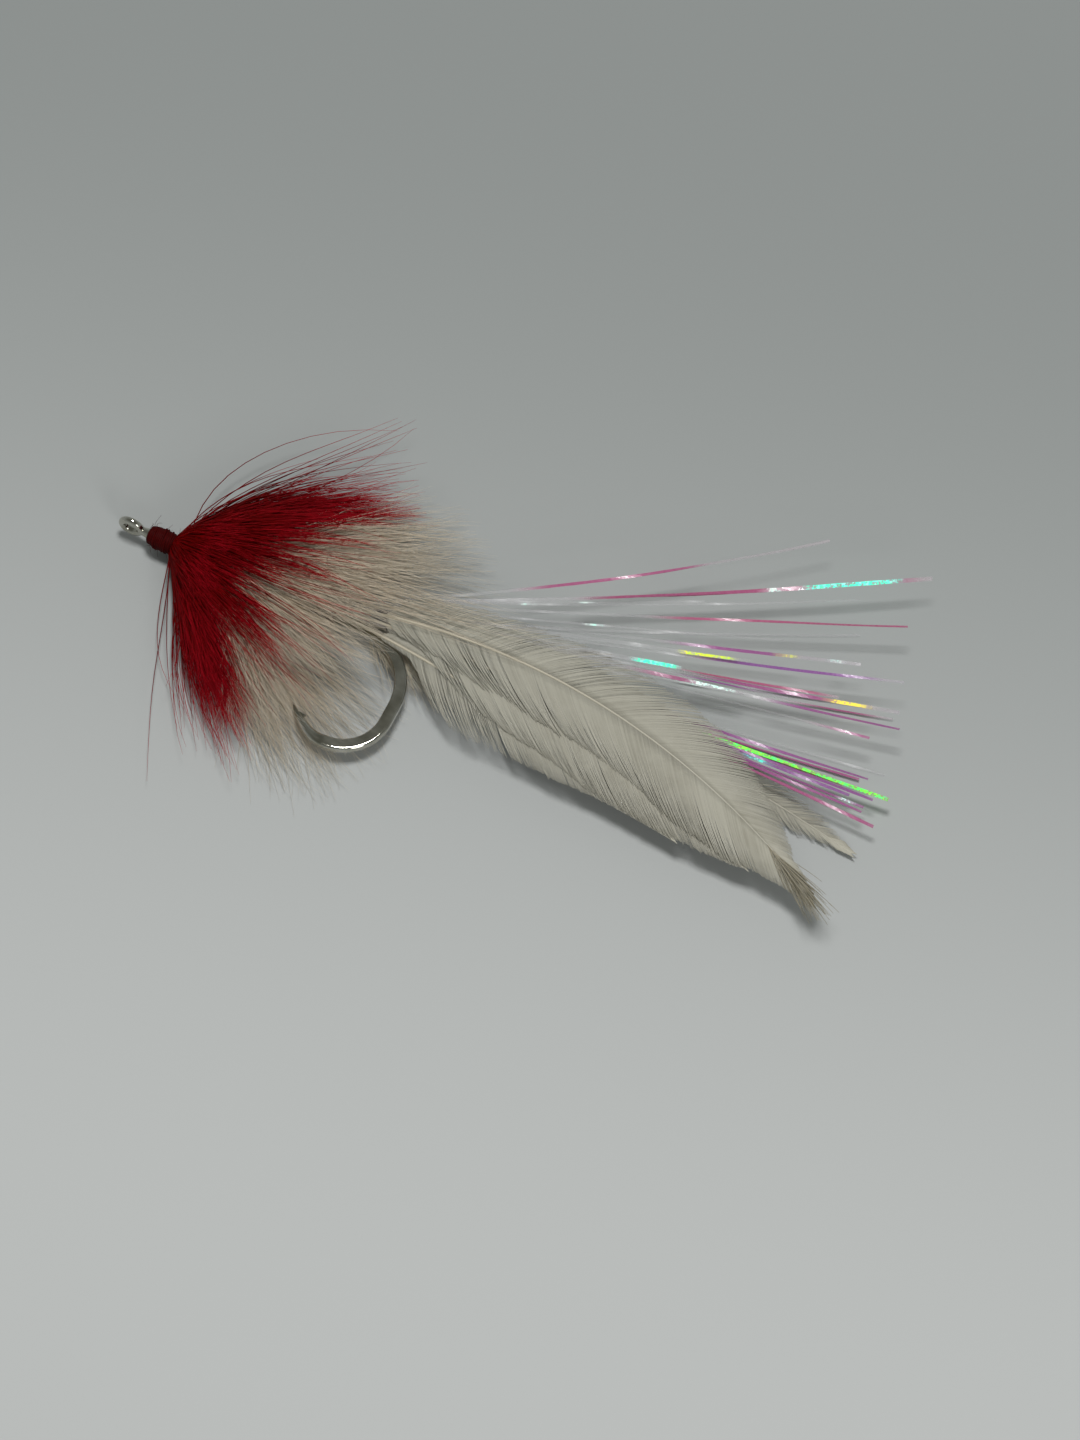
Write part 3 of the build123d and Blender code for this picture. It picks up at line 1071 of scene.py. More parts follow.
RED_TUFTS = (
    Tuft("red_back_tuft", Collar.RED, 0, Mass((30, 47), (8, 22), (-0.5, 2.5), 420), (
        Lock(40, 26.0, 90, 1.5, loose=3.5, gather=2.2), Lock(37, 29.0, 80, 2.0, gather=1.5),
        Lock(34, 32.0, 60, 1.0, gather=1.2), Lock(40, 32.0, 20, 2.4, gather=1.6),
        Lock(44, 31.5, 11, 1.8), Lock(47, 33.5, 8, 1.0, gather=1.0),
        Lock(55, 34.5, 7, 1.4, loose=6.0, gather=1.2, ragged=0.05),
        Lock(51, 31.0, 6, 0.6, loose=6.0), Lock(58, 24.0, 3, 0.4, loose=5.0, ragged=0.2),
        Lock(31, 33.0, 24, 0.4, gather=1.2), Lock(28, 30.0, 22, 0.0, gather=1.2)), 1),
    Tuft("red_near_back_tuft", Collar.RED, 60, Mass((-8, 36), (5, 11), (2.4, 4.6), 560), (
        Lock(30, 23.0, 50, 5.0, gather=1.2), Lock(28, 29.0, 22, 5.6, gather=1.0),
        Lock(23, 19.0, 44, 5.0, gather=1.2), Lock(20, 28.5, 22, 5.6, gather=0.8),
        Lock(14, 18.0, 26, 5.2), Lock(12, 28.0, 8, 5.8, gather=0.8),
        Lock(6, 22.5, 44, 5.4, gather=0.8), Lock(3, 29.0, 8, 5.6, gather=0.8),
        Lock(-3, 17.0, 40, 5.4, gather=1.2), Lock(-4, 29.0, 7, 6.0)), 2),
    Tuft("red_near_belly_tuft", Collar.RED, 120, Mass((-44, -4), (5, 10), (2.4, 4.4), 520), (
        Lock(-9, 15.0, 26, 5.0), Lock(-11, 29.0, 9, 5.4), Lock(-17, 19.5, 40, 4.6, gather=0.9),
        Lock(-20, 28.5, 11, 5.0), Lock(-25, 22.5, 42, 4.4, gather=0.9),
        Lock(-27, 29.5, 12, 4.6), Lock(-33, 17.0, 28, 4.0), Lock(-33, 26.0, 10, 4.2),
        Lock(-39, 20.0, 20, 3.4)), 3),
    Tuft("red_belly_tuft", Collar.RED, 180, Mass((-54, -38), (7, 21), (-1.2, 2.6), 560), (
        Lock(-46, 24.5, 120, 1.2, loose=3.4, gather=2.2), Lock(-49, 27.0, 80, 0.6, gather=1.6,
        loose=3.0), Lock(-43, 28.0, 44, 1.6, gather=1.3), Lock(-46, 31.0, 32, 0.4, gather=1.0),
        Lock(-51, 33.0, 18, -0.2, gather=1.0), Lock(-53, 28.5, 26, -0.8, gather=1.4),
        Lock(-40, 26.5, 26, 2.0, gather=1.2), Lock(-58, 28.0, 9, -1.0, gather=1.6),
        Lock(-61, 26.0, 6, -1.2, loose=6.0, gather=1.6), Lock(-69, 33.0, 1, -1.4, gather=0.5,
        ragged=0.02), Lock(-63, 30.0, 4, -0.6, loose=6.0)), 4, sweep_back=1.0),
    Tuft("red_far_belly_tuft", Collar.RED, 240, Mass((-54, -10), (6, 14), (-2.6, -1.4), 300), (
        Lock(-52, 24.0, 26, -2.2), Lock(-44, 25.0, 26, -2.4), Lock(-30, 18.0, 16, -2.6),
        Lock(-62, 24.0, 4, -2.4, loose=5.0)), 5, sweep_back=1.0),
    Tuft("red_far_back_tuft", Collar.RED, 300, Mass((0, 48), (6, 14), (-2.6, -1.2), 300), (
        Lock(44, 24.0, 26, -2.0), Lock(34, 26.0, 22, -2.2), Lock(20, 20.0, 16, -2.4),
        Lock(58, 24.0, 5, -1.6)), 6),
)
def loose_lock(heading: float, reach: float, count: int, z: float, gather: float = 3.0,
               loose: float = 6.0) -> Lock:
    """A lock of the cream collar, whose soft fibres scatter widely."""
    return Lock(heading, reach, count, z, loose, gather)


CREAM_TUFTS = (
    Tuft("white_back_tuft", Collar.CREAM, 0, Mass((16, 44), (12, 28), (-1.4, 2.0), 300), (
        loose_lock(46, 30.0, 22, -0.6), loose_lock(39, 33.0, 34, 0.2),
        loose_lock(33, 34.0, 44, 1.0), loose_lock(28, 35.0, 44, 1.4),
        loose_lock(22, 35.5, 40, 1.0)), 21, thick=0.06, sweep_back=1.2, wave=0.6),
    Tuft("white_near_back_tuft", Collar.CREAM, 60, Mass((2, 32), (12, 26), (2.4, 4.0), 340), (
        loose_lock(24, 30.0, 46, 3.4), loose_lock(17, 32.0, 46, 3.8),
        loose_lock(10, 33.0, 46, 4.0, gather=2.4), Lock(6, 42.0, 16, 3.6, gather=1.2),
        Lock(10, 45.0, 14, 3.3, gather=1.2), Lock(14, 40.0, 12, 3.4),
        loose_lock(4, 25.0, 56, 3.7, loose=4.0), loose_lock(-1, 22.0, 46, 3.7, loose=4.0)), 22,
         thick=0.06, sweep_back=1.2, wave=0.5, bends_with="near_tail"),
    Tuft("white_near_belly_tuft", Collar.CREAM, 120, Mass((-36, 4), (9, 19), (2.2, 3.6), 480), (
        loose_lock(2, 27.0, 44, 3.6, 2.0, 4.0), loose_lock(-6, 26.0, 60, 3.6, 2.6, 5.0),
        loose_lock(-12, 26.5, 64, 3.2), loose_lock(-18, 24.5, 64, 3.0, 3.4),
        loose_lock(-25, 22.5, 56, 2.8, 3.4), loose_lock(-33, 19.0, 40, 2.6, 3.4)), 23,
         thick=0.06, sweep_back=1.2, wave=0.6, bends_with="near_tail"),
    Tuft("white_belly_tuft", Collar.CREAM, 180, Mass((-58, -38), (9, 24), (-1.4, 1.4), 340), (
        loose_lock(-41, 27.0, 40, 1.7, 4.0), loose_lock(-47, 27.0, 46, 0.4, 4.0),
        loose_lock(-54, 24.0, 40, -0.6, 4.0)), 24, thick=0.055, sweep_back=1.15, wave=0.9),
    Tuft("white_far_belly_tuft", Collar.CREAM, 240, Mass((-54, -14), (12, 32), (-2.7, -1.4), 520),
         (loose_lock(-18, 33.0, 30, -2.2, 4.0, 7.0), loose_lock(-27, 34.0, 40, -2.0, 4.0, 7.0),
          loose_lock(-35, 35.0, 46, -2.0, 4.0, 7.0), loose_lock(-42, 36.0, 46, -2.1, 4.0, 7.0),
          loose_lock(-49, 33.0, 40, -2.2, 4.0, 7.0)), 25,
         thick=0.055, sweep_back=1.15, wave=1.0),
    Tuft("white_far_back_tuft", Collar.CREAM, 300, Mass((2, 44), (12, 30), (-2.6, -1.4), 380), (
        loose_lock(36, 33.0, 34, -1.8, 3.4), loose_lock(27, 36.0, 34, -2.0, 3.4),
        loose_lock(20, 37.0, 30, -2.0)), 26, thick=0.055, sweep_back=1.2, wave=0.7),
)


# ------------------------------------------------------------------------------ hackles
class Side(Enum):
    """The two sides of a quill, with the sign of the direction that barbs leave in."""

    BACK = 1
    BELLY = -1


@dataclass(frozen=True)
class Loose:
    """A stretch of one side of the vane whose barbs have come apart."""

    side: Side
    begin: float
    end: float
    spread: float = 3.0
    thin: float = 0.5
    ragged: float = 0.12


@dataclass(frozen=True)
class Brush:
    """Ragged barbs that carry on past the end of the quill."""

    begin: float
    end: float
    reach: tuple[float, float]
    spread: float
    count: int
    turn: float = 0.0
    thick: float = 0.085
    runs: tuple[float, float, float] = (0.33, 0.6, 0.4)


@dataclass
class Hackle:
    """A saddle hackle: a tapered quill with several hundred separate barbs on either side."""

    node: str
    body: str
    outline: tuple[tuple[float, float, float], ...]
    seed: int
    barbs: int = 330
    bare: float = 7.0
    cup: float = 0.35
    splits: int = 8
    loose: tuple[Loose, ...] = ()
    brush: Brush | None = None
    stain_from: float = 2.0
    down: int = 0
    quill_end: float = 1.0
    short_by: float = 0.8
    steps: int = 8

    # The quill: how far it runs on under the wraps, its arch, and its dip at the root.
    UNDER_WRAPS = 0.8
    QUILL_TOP = 0.01
    ARCH = {"near_tail": 0.5, "far_tail": -0.15}
    DIP, DIP_RUN = 0.45, 3.0
    QUILL_RADII = (0.25, 0.05)
    QUILL_TONE = 0.3
    # The vane: packets of barbs between splits, and how barbs and packets differ.
    CUPS_TO = {"near_tail": -1.0, "far_tail": 1.0}
    LAST_BARB = 0.995
    SPLITS = (0.04, 0.96)
    PACKET_SWING, BARB_SWING = 1.8, 0.4
    PACKET_STRETCH, BARB_STRETCH = 0.03, 0.015
    PACKET_TONE, BARB_TONE, MEAN_TONE = 0.12, 0.22, 0.35
    THIN_SCATTER = (0.6, 1.4)
    FULL_WIDTH = 7.0
    RIPPLE, RIPPLES, RIPPLE_LAG = 0.10, 2.3, 0.2
    STAIN_SOFT = 0.03
    # A barb: its width as a share of the spacing, its depth, and its angle in degrees, which
    # closes along the feather and along the barb; the chord is the mean share of that angle.
    BARB_WIDTH, BARB_TAPER = 0.50, 0.32
    BARB_DEPTH = 0.025
    BASE_ANGLE = 54.0
    CLOSES_BY = 16.0
    CURL = 0.38
    CHORD = 0.81
    ROUNDS = 14
    # The brush: how far its barbs keep their heading, how they taper, and their stain.
    BRUSH_KEEPS = 0.6
    BRUSH_LIFT, BRUSH_DROOP = 0.05, 0.08
    BRUSH_TAPER, BRUSH_FLAT = 0.7, 0.5
    BRUSH_STAIN = (0.85, 0.25)
    # The down: places as shares of the quill, angles in degrees, sizes in millimetres.
    DOWN_PLACE = (0.09, 0.25)
    DOWN_ANGLE = (34.0, 58.0)
    DOWN_REACH = (5.0, 10.5)
    DOWN_RUNS = (0.33, 0.66, 0.36)
    DOWN_STEPS = 12
    DOWN_KEEPS = 0.72
    DOWN_SWAY = (0.05, 0.3)
    DOWN_WAVES, DOWN_GROWS = 1.2, 1.4
    DOWN_TONE = (0.4, 0.25)
    DOWN_THICK, DOWN_TAPER = 0.06, 0.75
    DOWN_FACING = np.array([0.1, 0.1, 1.0])
    DOWN_TOP = -0.85

    def rachis(self, frame: Frame, steps: int = 160) -> np.ndarray:
        """Centre line of the quill.

        Formula: a cubic fitted to the corners of the node's own quill, whose top stands above
        the vane, gives its place across the shank; the height is the node's middle plus a low
        arch, less a dip towards the shank at the root.

        Args:
            frame: The frame.
            steps: Points along the line.

        Returns:
            Points, shape (steps, 3).
        """
        corners = frame.points(self.node)
        top = corners[corners[:, 2] > corners[:, 2].max() - self.QUILL_TOP]
        fit = np.polyfit(top[:, 0], top[:, 1], 3)
        low, high = corners.min(0), corners.max(0)
        x = np.linspace(low[0] - self.UNDER_WRAPS, high[0] - self.short_by, steps)
        share = (x - x[0]) / (x[-1] - x[0])
        z = (low[2] + high[2]) / 2 + self.ARCH[self.body] * np.sin(math.pi * share)
        z *= 1.0 - self.DIP * np.exp(-(x - x[0]) / self.DIP_RUN)
        return np.stack([x, np.polyval(fit, x), z], axis=-1)

    def barb_paths(self, rachis: np.ndarray, side: Side, rng: np.random.Generator
                   ) -> tuple[np.ndarray, np.ndarray, np.ndarray, np.ndarray]:
        """Paths of the barbs on one side of the quill.

        Formula: a barb leaves the quill at an angle that closes from the feather's base to its
        tip, and closes further along the barb, so its points are the running sum of headings
        turned by that angle. Its length carries its tip to the outline at the place where the
        tip stands. Barbs hook together in packets that share a small turn of their own, which
        opens the splits; the cup bends the vane towards the hook's plane.

        Args:
            rachis: Centre line, shape (points, 3).
            side: The side of the quill.
            rng: The feather's random source.

        Returns:
            Paths, shape (barbs, steps, 3), each barb's place along the feather, its tone and
            its share of the full barb width.
        """
        span = rachis[-1, 0] - rachis[0, 0]
        first = self.bare / span
        vane = np.linspace(0.0, 1.0, self.barbs)
        share = first + (self.LAST_BARB - first) * vane
        place = share * (len(rachis) - 1)
        at = np.arange(len(rachis))
        root = np.stack([np.interp(place, at, rachis[:, i]) for i in range(3)], axis=-1)
        slope = np.gradient(rachis, axis=0)
        heading = unit(np.stack([np.interp(place, at, slope[:, i]) for i in range(3)], axis=-1))
        across = np.stack([-heading[:, 1], heading[:, 0], np.zeros(self.barbs)], axis=-1)
        across = unit(across) * side.value
        cuts = np.sort(rng.uniform(*self.SPLITS, self.splits))
        packet = np.searchsorted(cuts, vane)
        swing = (rng.normal(0.0, self.PACKET_SWING, self.splits + 1)[packet]
                 + rng.normal(0.0, self.BARB_SWING, self.barbs))
        stretch = (1.0 + rng.normal(0, self.PACKET_STRETCH, self.splits + 1)[packet]
                   + rng.normal(0, self.BARB_STRETCH, self.barbs))
        thin = np.ones(self.barbs)
        for part in self.loose:
            if part.side is side:
                inside = ((share > part.begin) & (share < part.end)).astype(float)
                swing += inside * rng.normal(0, part.spread, self.barbs)
                stretch *= 1.0 - inside * np.abs(rng.normal(0, part.ragged, self.barbs))
                scatter = rng.uniform(*self.THIN_SCATTER, self.barbs)
                thin *= 1.0 - inside * (1.0 - part.thin * scatter)
        open_angle = self.BASE_ANGLE - self.CLOSES_BY * vane - self.CLOSES_BY * vane ** 4
        edge = np.array(self.outline)
        width = edge[0, 1] * np.ones(self.barbs)
        chord = np.radians(open_angle * self.CHORD)
        mean = np.tan(chord)
        for _ in range(self.ROUNDS):
            width = 0.5 * width + 0.5 * np.interp(share + width / mean / span, edge[:, 0],
                                                  edge[:, 1 if side is Side.BACK else 2])
        length = width / np.sin(chord) * stretch
        u = np.linspace(0.0, 1.0, self.steps)
        angle = np.radians(open_angle[:, None] * (1.0 - self.CURL * u) + swing[:, None] * u)
        step = (heading[:, None] * np.cos(angle)[..., None]
                + across[:, None] * np.sin(angle)[..., None])
        travel = np.cumsum(step, axis=1) - step[:, :1]
        lines = root[:, None] + travel * (length[:, None, None] / (self.steps - 1))
        waves = TAU * (self.RIPPLES * vane + self.RIPPLE_LAG * side.value)
        ripple = self.RIPPLE * np.sin(waves)[:, None] * u
        cup = self.CUPS_TO[self.body] * self.cup * (u ** 2)[None]
        lines[..., 2] += cup * (width / self.FULL_WIDTH)[:, None] + ripple
        tone = np.clip(self.MEAN_TONE
                       + rng.normal(0, self.PACKET_TONE, self.splits + 1)[packet]
                       + rng.normal(0, self.BARB_TONE, self.barbs), 0.0, 1.0)
        return lines, share, tone, thin

    def build(self, frame: Frame, finishes: Finishes) -> None:
        """Builds the quill, the vane, the brush past its end and the loose down at its base.

        Args:
            frame: The frame.
            finishes: The fly's materials.
        """
        rng = np.random.default_rng(self.seed)
        rachis = self.rachis(frame)
        sides = [self.barb_paths(rachis, side, rng) for side in Side]
        lines, share, tone, thin = (np.concatenate(parts) for parts in zip(*sides))
        spacing = (rachis[-1, 0] - rachis[0, 0] - self.bare) / self.barbs
        u = np.linspace(0.0, 1.0, self.steps)
        taper = self.BARB_WIDTH - self.BARB_TAPER * u ** 1.5
        wide = spacing * taper[None] * thin[:, None]
        rings = carried(lines, wide, np.full_like(wide, self.BARB_DEPTH), Section.BARB, UP)
        values = along_values(lines, tone)
        stained = smooth_step(share, self.stain_from - self.STAIN_SOFT,
                              self.stain_from + self.STAIN_SOFT)
        values["stain"] = stained[:, None] * (0.6 + 0.4 * u)[None]
        vane = closed_tubes(self.node + "_vane", rings, values)
        self.ride(frame, vane, finishes.barbs, self.node)
        self.build_quill(frame, finishes, rachis)
        if self.brush:
            self.build_brush(frame, finishes, rachis, self.brush, rng)
        if self.down:
            self.build_down(frame, finishes, rachis, rng)

    def build_quill(self, frame: Frame, finishes: Finishes, rachis: np.ndarray) -> None:
        """Builds the quill as one tapered tube.

        Args:
            frame: The frame.
            finishes: The fly's materials.
            rachis: Centre line of the quill.
        """
        line = rachis[:int(len(rachis) * self.quill_end)][None]
        taper = np.linspace(*self.QUILL_RADII, line.shape[1])
        quill = fibres(self.node + "_quill", line, taper, 1.0, Section.QUILL, UP,
                       along_values(line, np.array([self.QUILL_TONE])))
        self.ride(frame, quill, finishes.quill)

    def build_brush(self, frame: Frame, finishes: Finishes, rachis: np.ndarray, brush: Brush,
                    rng: np.random.Generator) -> None:
        """Builds the ragged, stained barbs at the feather's end.

        Formula: cubics that leave the quill at its own heading, spread by a random angle and end
        at random reaches.

        Args:
            frame: The frame.
            finishes: The fly's materials.
            rachis: Centre line of the quill.
            brush: Where the barbs start, how far they reach and how they spread.
            rng: The feather's random source.
        """
        place = (rng.uniform(brush.begin, brush.end, brush.count) * (len(rachis) - 1)).astype(int)
        root = rachis[place]
        slope = np.gradient(rachis, axis=0)[place]
        base = np.arctan2(slope[:, 1], slope[:, 0]) + math.radians(brush.turn)
        angle = base + np.radians(rng.normal(0.0, brush.spread, brush.count))
        later = base + (angle - base) * self.BRUSH_KEEPS
        reach = rng.uniform(*brush.reach, brush.count)[:, None]
        lift = rng.normal(0, self.BRUSH_LIFT, brush.count)
        out = np.stack([np.cos(angle), np.sin(angle), lift], axis=-1)
        droop = rng.normal(0, self.BRUSH_DROOP, brush.count)
        onward = np.stack([np.cos(later), np.sin(later), droop], axis=-1)
        lines = turning_lines(root, out, onward, reach, brush.runs, self.steps)
        t = np.linspace(0.0, 1.0, self.steps)
        values = along_values(lines, rng.uniform(0.0, 1.0, brush.count))
        stain = np.clip(rng.normal(*self.BRUSH_STAIN, brush.count), 0, 1)
        values["stain"] = np.broadcast_to(stain[:, None], lines.shape[:2])
        taper = brush.thick * (1.0 - self.BRUSH_TAPER * t)
        barbs = fibres(self.node + "_brush", lines, taper, self.BRUSH_FLAT, Section.BARB, UP,
                       values)
        self.ride(frame, barbs, finishes.barbs)

    def build_down(self, frame: Frame, finishes: Finishes, rachis: np.ndarray,
                   rng: np.random.Generator) -> None:
        """Loose downy barbs at the base of the vane, on its belly side.

        Formula: cubics that leave the quill at wide angles, sag and wander, with a sine wave
        that grows towards the tip.

        Args:
            frame: The frame.
            finishes: The fly's materials.
            rachis: Centre line of the quill.
            rng: The feather's random source.
        """
        count = self.down
        place = (rng.uniform(*self.DOWN_PLACE, count) * (len(rachis) - 1)).astype(int)
        root = rachis[place]
        angle = -np.radians(rng.uniform(*self.DOWN_ANGLE, count))
        reach = rng.uniform(*self.DOWN_REACH, count)[:, None]
        step = np.stack([np.cos(angle), np.sin(angle), rng.normal(0, 0.04, count)], axis=-1)
        later = angle * self.DOWN_KEEPS + rng.normal(0, 0.08, count)
        onward = np.stack([np.cos(later), np.sin(later), rng.normal(0, 0.04, count)], axis=-1)
        lines = turning_lines(root, step, onward, reach, self.DOWN_RUNS, self.DOWN_STEPS)
        t = np.linspace(0.0, 1.0, self.DOWN_STEPS)
        sway = (rng.uniform(*self.DOWN_SWAY, count)[:, None] * t ** self.DOWN_GROWS
                * np.sin(TAU * self.DOWN_WAVES * t + rng.uniform(0, TAU, count)[:, None]))
        lines[..., 0] -= sway * np.sin(angle)[:, None]
        lines[..., 1] += sway * np.cos(angle)[:, None]
        lines[..., 2] = np.clip(lines[..., 2], frame.level + FLOOR_GAP, self.DOWN_TOP)
        tone = np.clip(rng.normal(*self.DOWN_TONE, count), 0, 1)
        taper = self.DOWN_THICK * (1.0 - self.DOWN_TAPER * t)
        down = fibres(self.node + "_down", lines, taper, 1.0, Section.HAIR, self.DOWN_FACING,
                      along_values(lines, tone))
        self.ride(frame, down, finishes.down)

    def ride(self, frame: Frame, piece: bpy.types.Object, material: bpy.types.Material,
             *replaced: str) -> None:
        """Passes a piece of the feather through bend_at_tail, which only bakes its transform, and
        finishes it.
        """
        bend_at_tail(frame, piece, self.body)
        finish_piece(piece, material, "hackle", *replaced)


def bend_at_tail(frame: Frame, piece: bpy.types.Object, body: str, before: float = 0.5,
                 after: float = 9.0) -> None:
    """Bakes a piece's transform into its mesh; it is not bent and follows no tail body.

    Args:
        frame: The frame.
        piece: The piece.
        body: Not used.
        before: Not used.
        after: Not used.
    """
    _, wraps = frame.span("tail_wraps")
    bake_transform(piece)


HACKLES = (
    Hackle("far_outer_hackle", "far_tail", (
        (0.0, 2.0, 3.0), (0.15, 4.5, 5.0), (0.5, 5.0, 5.5), (0.7, 3.6, 5.0), (0.84, 2.7, 2.8),
        (0.93, 1.9, 1.7), (0.97, 1.0, 0.9), (1.0, 0.4, 0.4), (1.04, 0.1, 0.1)), 41,
           loose=(Loose(Side.BACK, 0.72, 0.95, spread=1.6, thin=0.6),
                  Loose(Side.BELLY, 0.78, 0.95, spread=1.6, thin=0.7))),
    Hackle("far_middle_hackle", "far_tail", (
        (0.0, 2.0, 3.0), (0.15, 5.0, 5.5), (0.5, 6.0, 6.0), (0.75, 4.4, 5.5), (0.9, 2.2, 3.0),
        (1.0, 0.4, 0.4), (1.04, 0.1, 0.1)), 42, short_by=4.0),
    Hackle("far_inner_hackle", "far_tail", (
        (0.0, 2.0, 3.5), (0.15, 4.5, 6.0), (0.4, 5.5, 6.5), (0.7, 4.5, 3.6), (0.9, 2.4, 1.5),
        (1.0, 0.4, 0.4), (1.04, 0.1, 0.1)), 43, short_by=3.0,
           loose=(Loose(Side.BELLY, 0.0, 0.34, thin=0.9),), down=150),
    Hackle("near_inner_hackle", "near_tail", (
        (0.0, 2.0, 0.5), (0.14, 4.0, 0.5), (0.22, 4.4, 0.9), (0.27, 4.6, 2.6), (0.33, 4.8, 5.4),
        (0.42, 5.0, 7.0),
        (0.55, 5.0, 6.0), (0.70, 4.6, 4.2), (0.84, 3.6, 2.2), (0.94, 2.0, 1.0), (1.0, 0.5, 0.4),
        (1.04, 0.1, 0.1)), 44, bare=7.5, short_by=5.0,
           loose=(Loose(Side.BELLY, 0.0, 0.45, spread=1.8, thin=0.8, ragged=0.05),)),
    Hackle("near_middle_hackle", "near_tail", (
        (0.0, 2.0, 0.9), (0.14, 4.6, 1.0), (0.20, 5.2, 1.7), (0.27, 5.8, 4.4), (0.37, 6.4, 7.0),
        (0.66, 6.2, 8.0), (0.80, 5.2, 6.4),
        (0.92, 3.0, 3.6), (0.98, 1.4, 1.6), (1.0, 0.5, 0.5), (1.04, 0.1, 0.1)), 45, bare=7.5,
           short_by=5.5,
           loose=(Loose(Side.BELLY, 0.05, 0.26, spread=1.4, thin=0.85),)),
    Hackle("near_outer_hackle", "near_tail", (
        (0.0, 2.0, 1.8), (0.13, 4.0, 2.6), (0.20, 4.8, 4.2), (0.29, 5.8, 6.2), (0.44, 7.1, 7.2),
        (0.60, 7.5, 7.6),
        (0.74, 6.6, 7.9), (0.86, 4.2, 6.2), (0.93, 1.7, 3.8), (0.97, 0.9, 2.2),
        (1.0, 0.4, 1.0), (1.04, 0.1, 0.2)), 46, splits=9,
           loose=(Loose(Side.BELLY, 0.10, 0.30, spread=1.2, thin=0.85, ragged=0.08),
                  Loose(Side.BACK, 0.12, 0.50, spread=0.5, thin=0.95, ragged=0.06)),
           brush=Brush(0.885, 0.955, (4.5, 9.2), 8.0, 150, turn=-6.0), stain_from=0.955,
           quill_end=0.945),
)


# ------------------------------------------------------------------------------ flash
class Hue(Enum):
    """Colours of the painted glints, as places on the film's ramp."""

    WHITE = 0.02
    CYAN = 0.25
    GREEN = 0.50
    LIME = 0.75
    GOLD = 0.97


@dataclass(frozen=True)
class Glint:
    """A stretch of a strand with a painted glint, a highlight painted where it catches the light,
    from and to in shares of its length.
    """

    begin: float
    end: float
    hue: Hue
    strength: float = 1.0


@dataclass(frozen=True)
class Strand:
    """One flat tape: its reach, its heading at the tip, its bow, where it shows its tint with
    painted reflection, and where it carries painted glints.
    """

    reach: float
    heading: float
    bow: float = 0.0
    shows: tuple[float, float] = (0.6, 1.0)
    glints: tuple[Glint, ...] = ()
    width: float = 0.48
    tone: float = 0.2
    spin: float = 0.6


